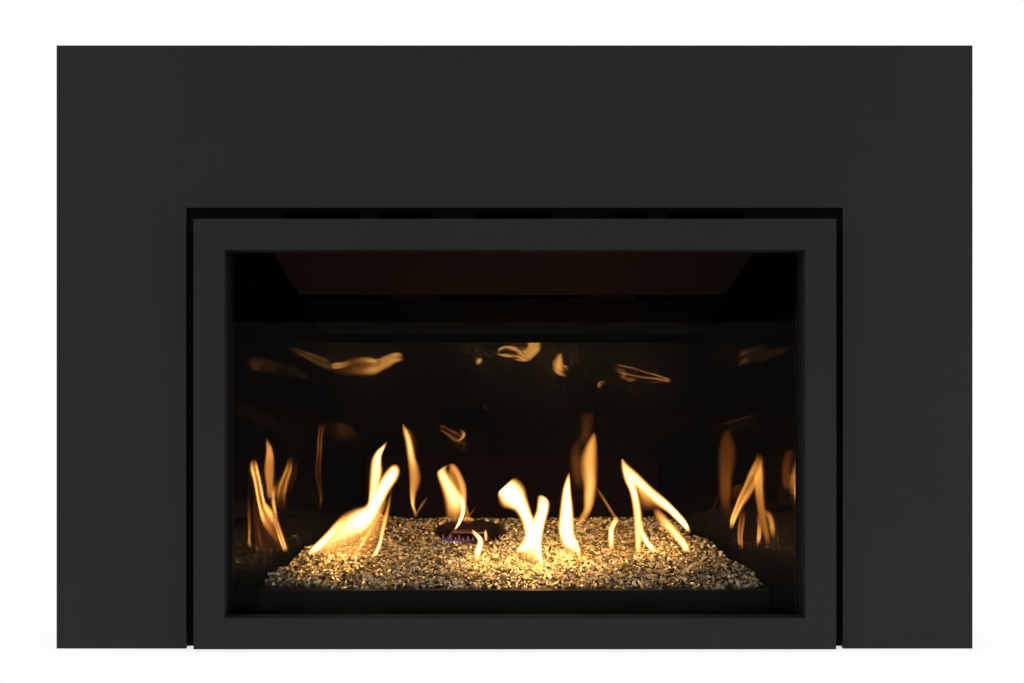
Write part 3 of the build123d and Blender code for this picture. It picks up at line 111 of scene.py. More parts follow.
class Wire:
    """A node's output, which can be added, multiplied and compared like a number."""

    def __init__(self, socket):
        self.socket = socket
        self.tree = socket.id_data

    def clamped(self):
        """Keep what the Math node behind this wire gives between 0 and 1."""
        self.socket.node.use_clamp = True
        return self

    __add__, __radd__ = sign("ADD"), sign("ADD", True)
    __sub__, __rsub__ = sign("SUBTRACT"), sign("SUBTRACT", True)
    __mul__, __truediv__, __pow__ = sign("MULTIPLY"), sign("DIVIDE"), sign("POWER")
    __abs__, __gt__, __lt__ = sign("ABSOLUTE"), sign("GREATER_THAN"), sign("LESS_THAN")


def feed(socket, value):
    """Give an input a wire or a plain value."""
    if isinstance(value, Wire):
        socket.id_data.links.new(value.socket, socket)
    else:
        socket.default_value = value


def feed_node(node, **values):
    """Feed several inputs, named as Blender shows them, with _ for a space."""
    for key, value in values.items():
        feed(node.inputs[key.replace("_", " ")], value)


def add_node(tree, kind, **values):
    """New node with its properties and inputs set."""
    node = tree.nodes.new(kind)
    for key, value in values.items():
        if hasattr(node, key):
            setattr(node, key, value)
        else:
            feed_node(node, **{key: value})
    return node


def add_wire(tree, kind, output=0, **values):
    """New node of which one output is wanted, the first if none is named."""
    return Wire(add_node(tree, kind, **values).outputs[output])


def node_over(kind, values, places, **properties):
    """New node in the tree of the first wire among its values."""
    tree = next(value.tree for value in values if isinstance(value, Wire))
    node = add_node(tree, kind, **properties)
    for place, value in zip(places, values):
        feed(node.inputs[place], value)
    return node


def math_node(operation, *values):
    """Math node over wires and plain numbers."""
    return Wire(node_over("ShaderNodeMath", values, (0, 1), operation=operation).outputs[0])


print("wires ready")


# %% [markdown]
# ## The nodes that every finish uses
# Mixing, ramps and noise come back in every finish, so each has a short name here.

# %% Node helpers
def mix(factor, first, second, blend="MIX"):
    """Mix of two colours. Each of the three is a wire or a plain value."""
    values = (factor, first, second)
    node = node_over("ShaderNodeMix", values, (0, 6, 7), data_type="RGBA", blend_type=blend)
    return Wire(node.outputs[2])


def ramp(value, stops):
    """Colour ramp over a wire. stops hold a position and a colour each."""
    node = node_over("ShaderNodeValToRGB", (value,), (0,))
    elements = node.color_ramp.elements
    while len(elements) < len(stops):
        elements.new(0.5)
    for element, (position, colour) in zip(elements, stops):
        element.position = position
        element.color = (*colour, 1.0)
    return Wire(node.outputs[0])


def smooth_range(value, *limits):
    """Map a wire smoothly from low..high to 0..1, or to two more limits, clamped."""
    node = add_node(value.tree, "ShaderNodeMapRange", interpolation_type="SMOOTHSTEP")
    for socket, number in zip(node.inputs, (value, *limits)):
        feed(socket, number)
    return Wire(node.outputs[0])


def noise(vector, scale, detail=3.0, roughness=0.55):
    """Noise over a vector."""
    return add_wire(vector.tree, "ShaderNodeTexNoise", Vector=vector, Scale=scale, Detail=detail,
                    Roughness=roughness)


def bump(height, distance, strength=1.0, **normal):
    """Relief as a normal, from a height."""
    return add_wire(height.tree, "ShaderNodeBump", Height=height, Distance=distance,
                    Strength=strength, **normal)


def axes_of(vector):
    """The three parts of a vector."""
    node = add_node(vector.tree, "ShaderNodeSeparateXYZ", Vector=vector)
    return [Wire(socket) for socket in node.outputs]


def object_vector(tree):
    """Object coordinates, which stay with the piece as it moves."""
    return add_wire(tree, "ShaderNodeTexCoord", "Object")


def attribute(tree, name):
    """Number that the mesh keeps under a name."""
    return add_wire(tree, "ShaderNodeAttribute", "Fac", attribute_type="GEOMETRY",
                    attribute_name=name)


def rays(tree, *kinds):
    """For each kind of ray, 1 for such a ray and 0 for others."""
    path = tree.nodes.new("ShaderNodeLightPath")
    return [Wire(path.outputs[f"Is {kind} Ray"]) for kind in kinds]


def grey(value, warmth=0.0):
    """Neutral colour, a little warmer or cooler."""
    return (value * (1 + warmth), value, value * (1 - warmth), 1.0)


def shaded(colour, factor):
    """Colour made darker or lighter."""
    return mix(1.0, colour, grey(factor), "MULTIPLY")


def wires_of(sockets):
    """Named sockets as wires."""
    return {socket.name: Wire(socket) for socket in sockets if socket.name}


def new_group(name, outputs, **inputs):
    """Shader group. Returns it, its inputs as wires and its output node."""
    group = bpy.data.node_groups.new(name, "ShaderNodeTree")
    for key, value in inputs.items():
        kind = "NodeSocketColor" if isinstance(value, tuple) else "NodeSocketFloat"
        label = key.replace("_", " ")
        group.interface.new_socket(label, in_out="INPUT", socket_type=kind).default_value = value
    for label, kind in outputs.items():
        group.interface.new_socket(label, in_out="OUTPUT", socket_type="NodeSocket" + kind)
    given = wires_of(group.nodes.new("NodeGroupInput").outputs)
    return group, given, group.nodes.new("NodeGroupOutput")


SURFACE = {"Color": "Color", "Roughness": "Float", "Normal": "Vector"}
print("node helpers ready")

# %% [markdown]
# ## Shared effect: baked paint
# Powder is baked on as a film that never lies quite flat: a fine orange peel, broad clouds
# where the film is thicker, and a slightly paler rub where hands and cloths pass. One group
# gives all three, and each painted finish sets its own colour and depth of peel.

# %% Baked paint group
PEEL_HEIGHT = 0.0002

paint_group, given, leave = new_group(
    "Baked Paint", SURFACE, Color=grey(0.02), Rub_Color=grey(0.05), Clouds=0.3, Rub=0.2,
    Peel_Scale=700.0, Peel_Depth=0.1, Roughness=0.45)
place = object_vector(paint_group)
clouds = (noise(place, 7.0, 4.0) - 0.5) * given["Clouds"]
darker, lighter = shaded(given["Color"], 0.7), shaded(given["Color"], 1.35)
clouded = mix((clouds + 0.5).clamped(), darker, lighter)
rub = smooth_range(noise(place, 38.0, 6.0, 0.7), 0.55, 0.8) * given["Rub"]
rough_swing = (noise(place, 160.0, 2.0) - 0.5) * 0.16
peel = noise(place, given["Peel Scale"], 2.0)
feed_node(leave, Color=mix(rub, clouded, given["Rub Color"]),
          Roughness=(given["Roughness"] + rough_swing).clamped(),
          Normal=bump(peel, PEEL_HEIGHT, given["Peel Depth"]))
print("group", paint_group.name)

# %% [markdown]
# ## Shared effect: rolled sheet
# Bare sheet steel shows fine lines along the way it was rolled, and the zinc or aluminium
# on it freezes in flat crystals, the spangle. Each crystal catches the light a bit
# differently, so the group shifts both colour and roughness from cell to cell.

# %% Rolled sheet group
LINE_HEIGHT = 0.0001
STAIN_COLOUR = (0.18, 0.14, 0.10, 1)

sheet_group, given, leave = new_group(
    "Rolled Sheet", SURFACE, Color=grey(0.5), Spangle_Scale=110.0, Spangle=0.4, Lines=0.3,
    Stain=0.2, Roughness=0.35)
place = object_vector(sheet_group)
crystals = add_wire(sheet_group, "ShaderNodeTexVoronoi", "Color", Vector=place,
                    Scale=given["Spangle Scale"])
crystal_shade = add_wire(sheet_group, "ShaderNodeSeparateColor", Color=crystals)
stretched = add_wire(sheet_group, "ShaderNodeMapping", Scale=(2.0, 2.0, 60.0), Vector=place)
lines = noise(stretched, 22.0, 4.0, 0.65)
shade = (lines - 0.5) * given["Lines"] + (crystal_shade - 0.5) * given["Spangle"]
shade = (shade + 0.5).clamped()
tinted = mix(shade, shaded(given["Color"], 0.6), shaded(given["Color"], 1.25))
stain = smooth_range(noise(place, 9.0, 5.0, 0.65), 0.52, 0.78) * given["Stain"]
feed_node(leave, Color=mix(stain, tinted, STAIN_COLOUR),
          Roughness=(given["Roughness"] + (shade - 0.5) * 0.3).clamped(),
          Normal=bump(lines, LINE_HEIGHT, 0.25))
print("group", sheet_group.name)

# %% [markdown]
# ## Shared effect: heat
# Steel and paint near a fire turn brown and straw in slow, uneven patches. The group mixes
# a heat colour in by a slow noise.

# %% Heat group
heat_group, given, leave = new_group(
    "Heat", {"Color": "Color"}, Color=grey(0.02), Heat_Color=(0.09, 0.05, 0.03, 1), Amount=0.5,
    Scale=14.0)
drift = noise(object_vector(heat_group), given["Scale"], 5.0, 0.6)
browned = smooth_range(drift, 0.35, 0.7) * given["Amount"]
feed_node(leave, Color=mix(browned, given["Color"], given["Heat Color"]))
print("group", heat_group.name)

# %% [markdown]
# ## Shared effect: moulded and woven grain
# Knobs and switch bodies come from a spark-eroded mould, with a grain like fine sand. The
# same cells, larger, serve for the weave of the gasket tape.

# %% Grain group
GRAIN_HEIGHT = 0.0002
DUST_COLOUR = (0.22, 0.21, 0.19, 1)

grain_group, given, leave = new_group(
    "Moulded Grain", SURFACE, Color=grey(0.03), Grain_Scale=1400.0, Depth=0.3, Dust=0.2,
    Roughness=0.55)
place = object_vector(grain_group)
dust = smooth_range(noise(place, 60.0, 5.0), 0.5, 0.8)
pits = add_wire(grain_group, "ShaderNodeTexVoronoi", "Distance", Vector=place,
                Scale=given["Grain Scale"])
feed_node(leave, Color=mix(dust * given["Dust"], given["Color"], DUST_COLOUR),
          Roughness=(given["Roughness"] + dust * 0.15).clamped(),
          Normal=bump(pits, GRAIN_HEIGHT, given["Depth"]))
print("group", grain_group.name)


# %% [markdown]
# ## From a group to a finish
# A finish is one Principled shader with a group in front of it. What is the same all over
# the piece, such as metalness or the index of refraction, is typed on the shader itself.

# %% Finish maker
FINISHES = {}


def new_finish(name, **shader_values):
    """Material with a Principled shader. Returns the material, its tree and the shader."""
    finish = bpy.data.materials.new(name)
    finish.use_nodes = True
    shader = finish.node_tree.nodes["Principled BSDF"]
    feed_node(shader, **shader_values)
    return finish, finish.node_tree, shader


def place_group(tree, group, *values):
    """Set a group in a tree, with values in the order of its inputs. Returns its outputs."""
    node = add_node(tree, "ShaderNodeGroup", node_tree=group)
    for socket, value in zip(node.inputs, values):
        feed(socket, value)
    return wires_of(node.outputs)


def grouped_finish(name, group, values, heat=(), **shader_values):
    """Finish whose colour, roughness and normal come from a group, browned by heat if asked."""
    finish, tree, shader = new_finish(name, **shader_values)
    film = place_group(tree, group, *values)
    if heat:
        film["Color"] = place_group(tree, heat_group, film["Color"], *heat)["Color"]
    feed_node(shader, Base_Color=film["Color"], Roughness=film["Roughness"], Normal=film["Normal"])
    return finish


def metal(name, *values, heat=()):
    """Bare metal: colour, spangle scale, spangle, lines, stain and roughness."""
    return grouped_finish(name, sheet_group, values, heat, Metallic=1.0)


def shader_of(finish):
    """Shader of a finish, to change what feeds it."""
    return finish.node_tree.nodes["Principled BSDF"]


def fed_by(shader, key):
    """Wire that feeds an input now."""
    return Wire(shader.inputs[key].links[0].from_socket)


print("finish maker ready")

# %% [markdown]
# ## The painted sheet
# Surround and face frame share one satin charcoal powder coat. Black parts near the window
# wear a flatter, deeper paint that stands the heat, and the brown cast of the ceiling is
# that same paint after many evenings of fire.

# %% Painted finishes
# colour, rub colour, clouds, rub, peel scale, peel depth, roughness; shine; heat
PAINTS = {
    "surround_paint": ((grey(0.0105), grey(0.025), 0.5, 0.12, 650.0, 0.22, 0.46), 0.3, ()),
    "face_paint": ((grey(0.0092), grey(0.025), 0.5, 0.12, 650.0, 0.22, 0.43), 0.3, ()),
    "black_paint": ((grey(0.003), grey(0.012), 0.4, 0.2, 500.0, 0.25, 0.62), 0.2, ()),
    # The front plate is seen only through the gap round the frame, so its near-black, dull colour
    # is painted shade for that gap.
    "cavity_black": ((grey(0.0085), grey(0.011), 0.4, 0.2, 500.0, 0.25, 0.8), 0.05, ()),
    "firebox_paint": (
        ((0.0024, 0.0011, 0.0013, 1), (0.004, 0.0025, 0.0025, 1), 0.6, 0.3, 420.0, 0.4, 0.75),
        0.0, ((0.003, 0.0016, 0.0016, 1), 0.6, 9.0)),
    "baffle_paint": (
        ((0.0042, 0.0028, 0.0026, 1), (0.007, 0.0045, 0.004, 1), 0.7, 0.4, 380.0, 0.4, 0.8),
        0.05, ((0.0065, 0.0033, 0.0026, 1), 0.7, 7.0)),
    "tray_paint": (
        (grey(0.0045, 0.05), grey(0.012), 0.4, 0.25, 500.0, 0.3, 0.6),
        0.12, ((0.006, 0.005, 0.003, 1), 0.5, 11.0)),
    "motor_paint": ((grey(0.02), grey(0.06), 0.4, 0.5, 600.0, 0.3, 0.35), 0.5, ()),
    "lever_paint": (
        ((0.45, 0.02, 0.01, 1), (0.3, 0.25, 0.22, 1), 0.4, 0.4, 700.0, 0.3, 0.4), 0.5, ()),
}
for name, (values, shine, heat) in PAINTS.items():
    FINISHES[name] = grouped_finish(name, paint_group, values, heat, Specular_IOR_Level=shine)
print("painted", len(FINISHES))

# %% [markdown]
# ## The frame's inner edge
# The folded edge round the window is coloured near black and dull as painted shade, which
# also keeps it from mirroring the fire. It is told from the front by where it lies: a box just
# larger than the opening.

# %% Inner edge of the frame
frame_low, frame_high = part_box("face_frame")
FACE_RAIL = 0.0357
EDGE_MARGIN = 0.0008

shader = shader_of(FINISHES["face_paint"])
across, _, up = axes_of(object_vector(shader.id_data))
# Painted shade: inside the opening the frame turns near black and rougher.
painted_shade_rim = ((across > frame_low.x + FACE_RAIL - EDGE_MARGIN)
         * (across < frame_high.x - FACE_RAIL + EDGE_MARGIN)
         * (up > frame_low.z + FACE_RAIL - EDGE_MARGIN)
         * (up < frame_high.z - FACE_RAIL + EDGE_MARGIN))
feed_node(shader, Base_Color=mix(painted_shade_rim, fed_by(shader, "Base Color"), grey(0.002)),
          Roughness=(fed_by(shader, "Roughness") + painted_shade_rim * 0.45).clamped())
print("frame rail", FACE_RAIL)

# %% [markdown]
# ## The black mirror panels
# The side walls, the leaning panel and the strip over it are enamelled steel, glossy as
# black glass. They throw the fire and the glass bed back at the viewer, which makes a
# shallow firebox look twice as deep. Only a hundredth of the light comes back, so the
# fire shows in them and the duller glass bed hardly does.

# %% Enamel
enamel, tree, shader = new_finish("liner_gloss", IOR=1.19)
place = object_vector(tree)
film = place_group(tree, heat_group, grey(0.0004), (0.0012, 0.0007, 0.0006, 1), 0.6, 5.0)
feed_node(shader, Base_Color=film["Color"],
          Roughness=smooth_range(noise(place, 6.0, 5.0, 0.6), 0.3, 0.8, 0.015, 0.06),
          Normal=bump(noise(place, 24.0, 2.0), 0.0005, 0.06))
FINISHES["liner_gloss"] = enamel
print("enamel", enamel.name)

# %% [markdown]
# ## The dull strip
# The narrow strip over the leaning panel and its hangers are the same steel, but dull: the
# hottest fumes pass over them and take the gloss off. A faint checker of darker squares runs
# over it.

# %% Dull strip
strip_finish, tree, shader = new_finish("dull_strip", Specular_IOR_Level=0.0)
film = place_group(tree, paint_group, (0.0016, 0.0016, 0.0014, 1), (0.0028, 0.0026, 0.0024, 1),
                   0.6, 0.4, 420.0, 0.3, 0.55)
squares = add_wire(tree, "ShaderNodeTexChecker", Vector=object_vector(tree), Scale=32.0,
                   Color1=grey(1.0), Color2=grey(0.75))
feed_node(shader, Base_Color=mix(1.0, film["Color"], squares, "MULTIPLY"),
          Roughness=film["Roughness"], Normal=film["Normal"])
print("strip", strip_finish.name)

# %% [markdown]
# ## The metals
# The casing and ducts are aluminised sheet, the small brackets zinc plated, the vents
# rolled aluminium. Under the flames the steel of burner and pilot has gone straw and blue.

# %% Metal finishes
# colour, spangle scale, spangle, lines, stain, roughness
METALS = {
    "casing_steel": (grey(0.52, -0.01), 95.0, 0.35, 0.35, 0.18, 0.38),
    "zinc_steel": (grey(0.55, 0.01), 260.0, 0.25, 0.2, 0.12, 0.33),
    "screw_steel": (grey(0.42, 0.02), 500.0, 0.2, 0.3, 0.3, 0.3),
    "magnet_nickel": (grey(0.6, 0.02), 700.0, 0.1, 0.15, 0.1, 0.16),
    "burner_steel": (grey(0.22, 0.03), 180.0, 0.3, 0.4, 0.6, 0.5),
    "pilot_steel": ((0.2, 0.15, 0.17, 1), 300.0, 0.2, 0.4, 0.5, 0.42),
    "brass_fitting": ((0.55, 0.36, 0.13, 1), 400.0, 0.15, 0.3, 0.25, 0.28),
    "valve_aluminium": (grey(0.5), 600.0, 0.35, 0.1, 0.15, 0.48),
    "flex_steel": (grey(0.5, 0.02), 350.0, 0.15, 0.2, 0.2, 0.25),
    "rotor_aluminium": (grey(0.56), 240.0, 0.15, 0.4, 0.2, 0.34),
    "vent_aluminium": (grey(0.6, -0.01), 150.0, 0.15, 0.5, 0.12, 0.3),
}
METAL_HEATS = {
    "burner_steel": ((0.16, 0.08, 0.05, 1), 0.7, 22.0),
    "pilot_steel": ((0.10, 0.06, 0.12, 1), 0.8, 40.0),
}
for name, values in METALS.items():
    FINISHES[name] = metal(name, *values, heat=METAL_HEATS.get(name, ()))
print("metals", len(METALS))

# %% [markdown]
# ## Plastic, ceramic and gasket tape
# The controls stand behind the frame, away from the fire, in grained black plastic. The
# spark electrode is glazed ceramic and the window seals on a woven glass tape. Under the
# chips the heap is coloured dark as painted shade, and only fills the gaps between them.

# %% Plastics and the rest
# colour, grain scale, depth, dust, roughness; shine
GRAINED = {
    "knob_plastic": ((grey(0.012), 1600.0, 0.35, 0.2, 0.5), 0.5),
    "switch_plastic": ((grey(0.018), 1100.0, 0.3, 0.3, 0.55), 0.5),
    "button_plastic": (((0.3, 0.012, 0.01, 1), 2000.0, 0.1, 0.1, 0.22), 0.5),
    "electrode_ceramic": (((0.75, 0.71, 0.62, 1), 900.0, 0.1, 0.5, 0.25), 0.5),
    "gasket_fibre": ((grey(0.02, 0.03), 520.0, 1.0, 0.25, 0.9), 0.15),
    # painted shade for the gaps between chips
    "heap_shadow": (((0.045, 0.03, 0.014, 1), 380.0, 1.0, 0.1, 0.7), 0.1),
}
for name, (values, shine) in GRAINED.items():
    FINISHES[name] = grouped_finish(name, grain_group, values, Specular_IOR_Level=shine)
print("grained", len(GRAINED))

# %% [markdown]
# ## The window
# The pane is clear glass ceramic with an anti-reflective coat, so its index is set just
# above air's and the fire is seen without a veil. A trace of bloom, the whitish film that
# firing leaves, shows only in its roughness.

# %% Window glass
pane, tree, shader = new_finish("window_glass", Base_Color=(0.97, 0.98, 0.97, 1),
                                Transmission_Weight=1.0, IOR=1.07)
bloom = smooth_range(noise(object_vector(tree), 8.0, 5.0), 0.6, 0.85, 0.0, 0.01)
feed_node(shader, Roughness=bloom)
FINISHES["window_glass"] = pane
print("window", pane.name)

# %% [markdown]
# ## Crushed glass
# Fire glass is tempered plate, broken and tumbled. Every chip has its own tint from clear
# straw to smoky bronze, and its flat faces flash. Each chip carries a random shade, a named
# attribute, which the ramp turns into a colour. The ramp's near-white end is painted sparkle
# and its near-black end painted shade between chips.

# %% Fire glass finish
chips_finish, tree, shader = new_finish("fire_glass", IOR=1.52, Transmission_Weight=0.6)
# Real tints in the middle of the ramp; painted sparkle at its white end, painted shade at its black
# end.
tint_with_painted_sparkle_and_shade = ramp(attribute(tree, "chip_shade"), [
    (0.0, (0.010, 0.009, 0.005)), (0.28, (0.085, 0.075, 0.038)), (0.5, (0.38, 0.27, 0.12)),
    (0.7, (0.66, 0.52, 0.29)), (0.86, (0.95, 0.88, 0.70)), (1.0, (1.0, 1.0, 0.95))])
veins = noise(object_vector(tree), 420.0, 2.0)
feed_node(shader, Base_Color=mix(veins * 0.3, tint_with_painted_sparkle_and_shade, (0.16, 0.17, 0.10, 1)),
          Roughness=smooth_range(veins, 0.3, 0.7, 0.005, 0.06))
FINISHES["fire_glass"] = chips_finish
print("finishes", len(FINISHES))

# %% [markdown]
# ## The pilot's pocket
# Round the pilot's hood the chips are kept clear, so its small flames get air. What is
# seen of the heap there, and a little round it, is coloured nearly black.

# %% Pocket
hood_low, hood_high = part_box("pilot_hood")
POCKET_MIDDLE = Vector(((hood_low.x + hood_high.x) / 2 - 0.001,
                        (hood_low.y + hood_high.y) / 2 - 0.004))
POCKET_REACH = Vector((0.048, 0.052))
DARKENED_REACH = 1.15

shader = shader_of(FINISHES["heap_shadow"])
across, deep, _ = axes_of(object_vector(shader.id_data))
off_side = ((across - POCKET_MIDDLE.x) / (POCKET_REACH.x * DARKENED_REACH)) ** 2.0
off_depth = ((deep - POCKET_MIDDLE.y) / (POCKET_REACH.y * DARKENED_REACH)) ** 2.0
outside_pocket = smooth_range(off_side + off_depth, 0.8, 1.1)
# The heap is coloured nearly black within a little more than the pocket's reach.
pocket_darkening = (0.003, 0.0012, 0.0022, 1)
feed_node(shader, Base_Color=mix(outside_pocket, pocket_darkening, fed_by(shader, "Base Color")))
print("pocket at", [round(part, 3) for part in POCKET_MIDDLE])

# %% [markdown]
# ## Pressed casing sheets
# A flat sheet this large would drum when the blower runs. Before folding, the press sinks a
# bead round each panel and a shallow cross over it, and the welder's tongs leave a row of
# dimples where it laps its neighbour. They are shallow enough to be relief in the finish.

# %% Pressed sheet group
CROSS_END = 0.93
CROSS_WIDTH = 0.07
CROSS_DEPTH = 0.35
WELD_RADIUS = 0.004
WELD_DEPTH = -0.6

bead_group, given, leave = new_group(
    "Pressed Bead", {"Height": "Float"}, Across=0.0, Up=0.0, Half_Width=0.2, Half_Height=0.2,
    Corner=0.03, Bead_Width=0.006, Weld_Edge=0.3, Weld_Pitch=0.05)
across, up, corner = abs(given["Across"]), abs(given["Up"]), given["Corner"]


def past(limit, value):
    """How far a value lies past a limit that the corner's radius is taken off."""
    return math_node("MAXIMUM", value - (limit - corner), 0.0)


def length_of(first, second):
    """Length of a step with two parts."""
    return math_node("SQRT", first ** 2.0 + second ** 2.0)


def height_near(distance, width):
    """1 on a line, 0 a width away from it."""
    return (1.0 - abs(distance) / width).clamped()


past_both = length_of(past(given["Half Width"], across), past(given["Half Height"], up))
bead = height_near(past_both - corner, given["Bead Width"])
share_side, share_top = across / given["Half Width"], up / given["Half Height"]
inside = math_node("MAXIMUM", share_side, share_top) < CROSS_END
cross = height_near(share_side - share_top, CROSS_WIDTH) * inside
pitch_share = math_node("FRACT", given["Up"] / given["Weld Pitch"])
off_pitch = (pitch_share - 0.5) * given["Weld Pitch"]
weld = height_near(length_of(off_pitch, across - given["Weld Edge"]), WELD_RADIUS)
feed_node(leave, Height=bead + cross * CROSS_DEPTH + weld * WELD_DEPTH)


def pressed_finish(name, axes, middle, depth, *sizes):
    """Casing sheet with a bead, a cross and welds laid out over two axes round a middle."""
    finish = metal(name, grey(0.52, -0.01), 95.0, 0.3, 0.35, 0.2, 0.38)
    shader = shader_of(finish)
    parts = axes_of(object_vector(shader.id_data))
    offsets = [parts[axis] - centre for axis, centre in zip(axes, middle)]
    pressing = place_group(shader.id_data, bead_group, *offsets, *sizes)
    feed_node(shader, Normal=bump(pressing["Height"], depth, Normal=fed_by(shader, "Normal")))
    return finish


# axes, middle, depth; half width, half height, corner, bead width, weld edge, weld pitch
back_sheet = pressed_finish(
    "back_sheet", (0, 2), (0.0, 0.26), 0.003, 0.25, 0.19, 0.03, 0.007, 0.281, 0.048)
side_sheet = pressed_finish(
    "side_sheet", (1, 2), (0.10, 0.26), 0.0014, 0.085, 0.19, 0.025, 0.006, 0.5, 0.048)
top_sheet = pressed_finish(
    "top_sheet", (0, 1), (0.0, -0.085), 0.001, 0.29, 0.055, 0.02, 0.006, 0.9, 0.05)
print("pressed sheets", back_sheet.name, side_sheet.name, top_sheet.name)

# %% [markdown]
# ## Rings of the gas line
# The gas line is thin stainless tube with rings rolled into it, so that it bends by hand.
# It runs along the depth almost straight, so the rings follow that axis.

# %% Ringed tube
RING_PITCH = 0.0034
RING_HEIGHT = 0.0009

ringed_tube = metal("ringed_tube", grey(0.5, 0.02), 350.0, 0.1, 0.1, 0.25, 0.22)
shader = shader_of(ringed_tube)
deep = axes_of(object_vector(shader.id_data))[1]
rings = math_node("SINE", deep * (math.tau / RING_PITCH))
feed_node(shader, Normal=bump(rings, RING_HEIGHT))
print("ringed tube", RING_PITCH)

# %% [markdown]
# ## Every CAD node gets its finish
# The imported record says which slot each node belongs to, so one loop dresses them all.

# %% Dress the CAD nodes
slot_of = {part["node"]: part["material_slot"] for part in frame["record"]["subparts"]}
OWN_FINISH = {
    "upper_back_strip": strip_finish, "front_plate": FINISHES["cavity_black"],
    "fire_glass_bed": FINISHES["heap_shadow"], "casing_back": back_sheet,
    "casing_left_side": side_sheet, "casing_right_side": side_sheet, "casing_top": top_sheet,
    "gas_flex_line": ringed_tube}
for name, node_object in nodes.items():
    node_object.data.materials.clear()
    node_object.data.materials.append(OWN_FINISH.get(name, FINISHES[slot_of[name]]))
print("dressed", len(slot_of))

# %% [markdown]
# ## The bed of glass
# The CAD heap is a smooth body. Over it lie some fifteen thousand chips. This skin follows
# the heap's crown, banks up a little at both sides and leaves the pilot's pocket open.

# %% Skin of the heap
bed_low, bed_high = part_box("fire_glass_bed")
BED_REAR_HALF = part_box("lower_back_liner")[1].x
BED_FRONT_LEVEL = 0.056
BED_CROWN = 0.006
BANK_HEIGHT = 0.009
BANK_START = 0.72
BANK_WIDTH = 0.28
BANK_WAVES = (9, 83)  # radians per metre along x and y
RIPPLE_HEIGHT = 0.0012
RIPPLE_WAVES = (63, 71)
SKIN_MARGIN = 0.004
ROWS, COLUMNS = 48, 96


def bed_share(y):
    """How far back in the bed a depth lies, from 0 to 1."""
    return (y - bed_low.y) / (bed_high.y - bed_low.y)


def bed_level(y):
    """Height of the heap's top at a depth in the box."""
    along = bed_share(y)
    slope = BED_FRONT_LEVEL + (bed_high.z - BED_FRONT_LEVEL) * along
    return slope + 4 * BED_CROWN * along * (1 - along)


def half_width(y):
    """Half width of the heap at a depth, between the slanting walls."""
    return bed_high.x + (BED_REAR_HALF - bed_high.x) * bed_share(y)


skin_points, skin_faces = [], []
for row in range(ROWS + 1):
    y = bed_low.y + SKIN_MARGIN + (bed_high.y - bed_low.y - 2 * SKIN_MARGIN) * row / ROWS
    for column in range(COLUMNS + 1):
        x = (2 * column / COLUMNS - 1) * (half_width(y) - SKIN_MARGIN)
        past_bank = max(0.0, abs(x) / half_width(y) - BANK_START)
        uneven = 0.6 + 0.4 * math.sin(y * BANK_WAVES[1] + x * BANK_WAVES[0])
        bank = BANK_HEIGHT * past_bank / BANK_WIDTH * uneven
        ripple = (RIPPLE_HEIGHT * math.sin(x * RIPPLE_WAVES[0])
                  * math.sin(y * RIPPLE_WAVES[1] + 1))
        skin_points.append((x, y, bed_level(y) + bank + ripple))
for row in range(ROWS):
    for column in range(COLUMNS):
        corner = row * (COLUMNS + 1) + column
        x, y, _ = Vector(skin_points[corner])
        off_pocket = Vector(((x - POCKET_MIDDLE.x) / POCKET_REACH.x,
                             (y - POCKET_MIDDLE.y) / POCKET_REACH.y))
        if off_pocket.length >= 1:
            skin_faces.append((corner, corner + 1, corner + COLUMNS + 2, corner + COLUMNS + 1))
skin_mesh = bpy.data.meshes.new("bed_skin")
skin_mesh.from_pydata(skin_points, [], skin_faces)
print("skin faces", len(skin_faces))


# %% [markdown]
# ## Making and running a geometry tree
# Every tree here takes a carrier mesh and a finish, and ends by making its copies real and
# dressing them. A modifier's inputs are set by their identifiers before Blender first
# evaluates the object. The result is then read back as a plain mesh, and the modifier goes
# with its carrier, so nothing live is left on the finished piece.

# %% Geometry trees
def open_tree(name, **inputs):
    """Geometry tree with named inputs. Returns it and its inputs as wires."""
    tree = bpy.data.node_groups.new(name, "GeometryNodeTree")
    for key, kind in {"Geometry": "Geometry", **inputs, "Finish": "Material"}.items():
        label = key.replace("_", " ")
        tree.interface.new_socket(label, in_out="INPUT", socket_type="NodeSocket" + kind)
    tree.interface.new_socket("Geometry", in_out="OUTPUT", socket_type="NodeSocketGeometry")
    return tree, wires_of(tree.nodes.new("NodeGroupInput").outputs)


def close_tree(tree, given, copies):
    """Make the copies real, dress them and give them out."""
    solid = add_wire(tree, "GeometryNodeRealizeInstances", Geometry=copies)
    dressed = add_wire(tree, "GeometryNodeSetMaterial", Geometry=solid, Material=given["Finish"])
    feed(tree.nodes.new("NodeGroupOutput").inputs[0], dressed)


def of_type(sockets, name, kind):
    """Socket of a name and type, on a node that has one of that name for each type."""
    return next(socket for socket in sockets if socket.name == name and socket.type == kind)


def random_draw(tree, data_type, kind, low, high, seed):
    """Random value for each point, between two limits."""
    node = add_node(tree, "FunctionNodeRandomValue", data_type=data_type, Seed=seed)
    of_type(node.inputs, "Min", kind).default_value = low
    of_type(node.inputs, "Max", kind).default_value = high
    return Wire(of_type(node.outputs, "Value", kind))


def random_vector(tree, low, high, seed):
    """Random vector for each point, between the same limits along all three axes."""
    return random_draw(tree, "FLOAT_VECTOR", "VECTOR", (low,) * 3, (high,) * 3, seed)


def store(geometry, domain, name, value):
    """Keep a number on the geometry under a name."""
    node = add_node(geometry.tree, "GeometryNodeStoreNamedAttribute", data_type="FLOAT",
                    domain=domain, Name=name, Geometry=geometry)
    feed(of_type(node.inputs, "Value", "VALUE"), value)
    return Wire(node.outputs[0])


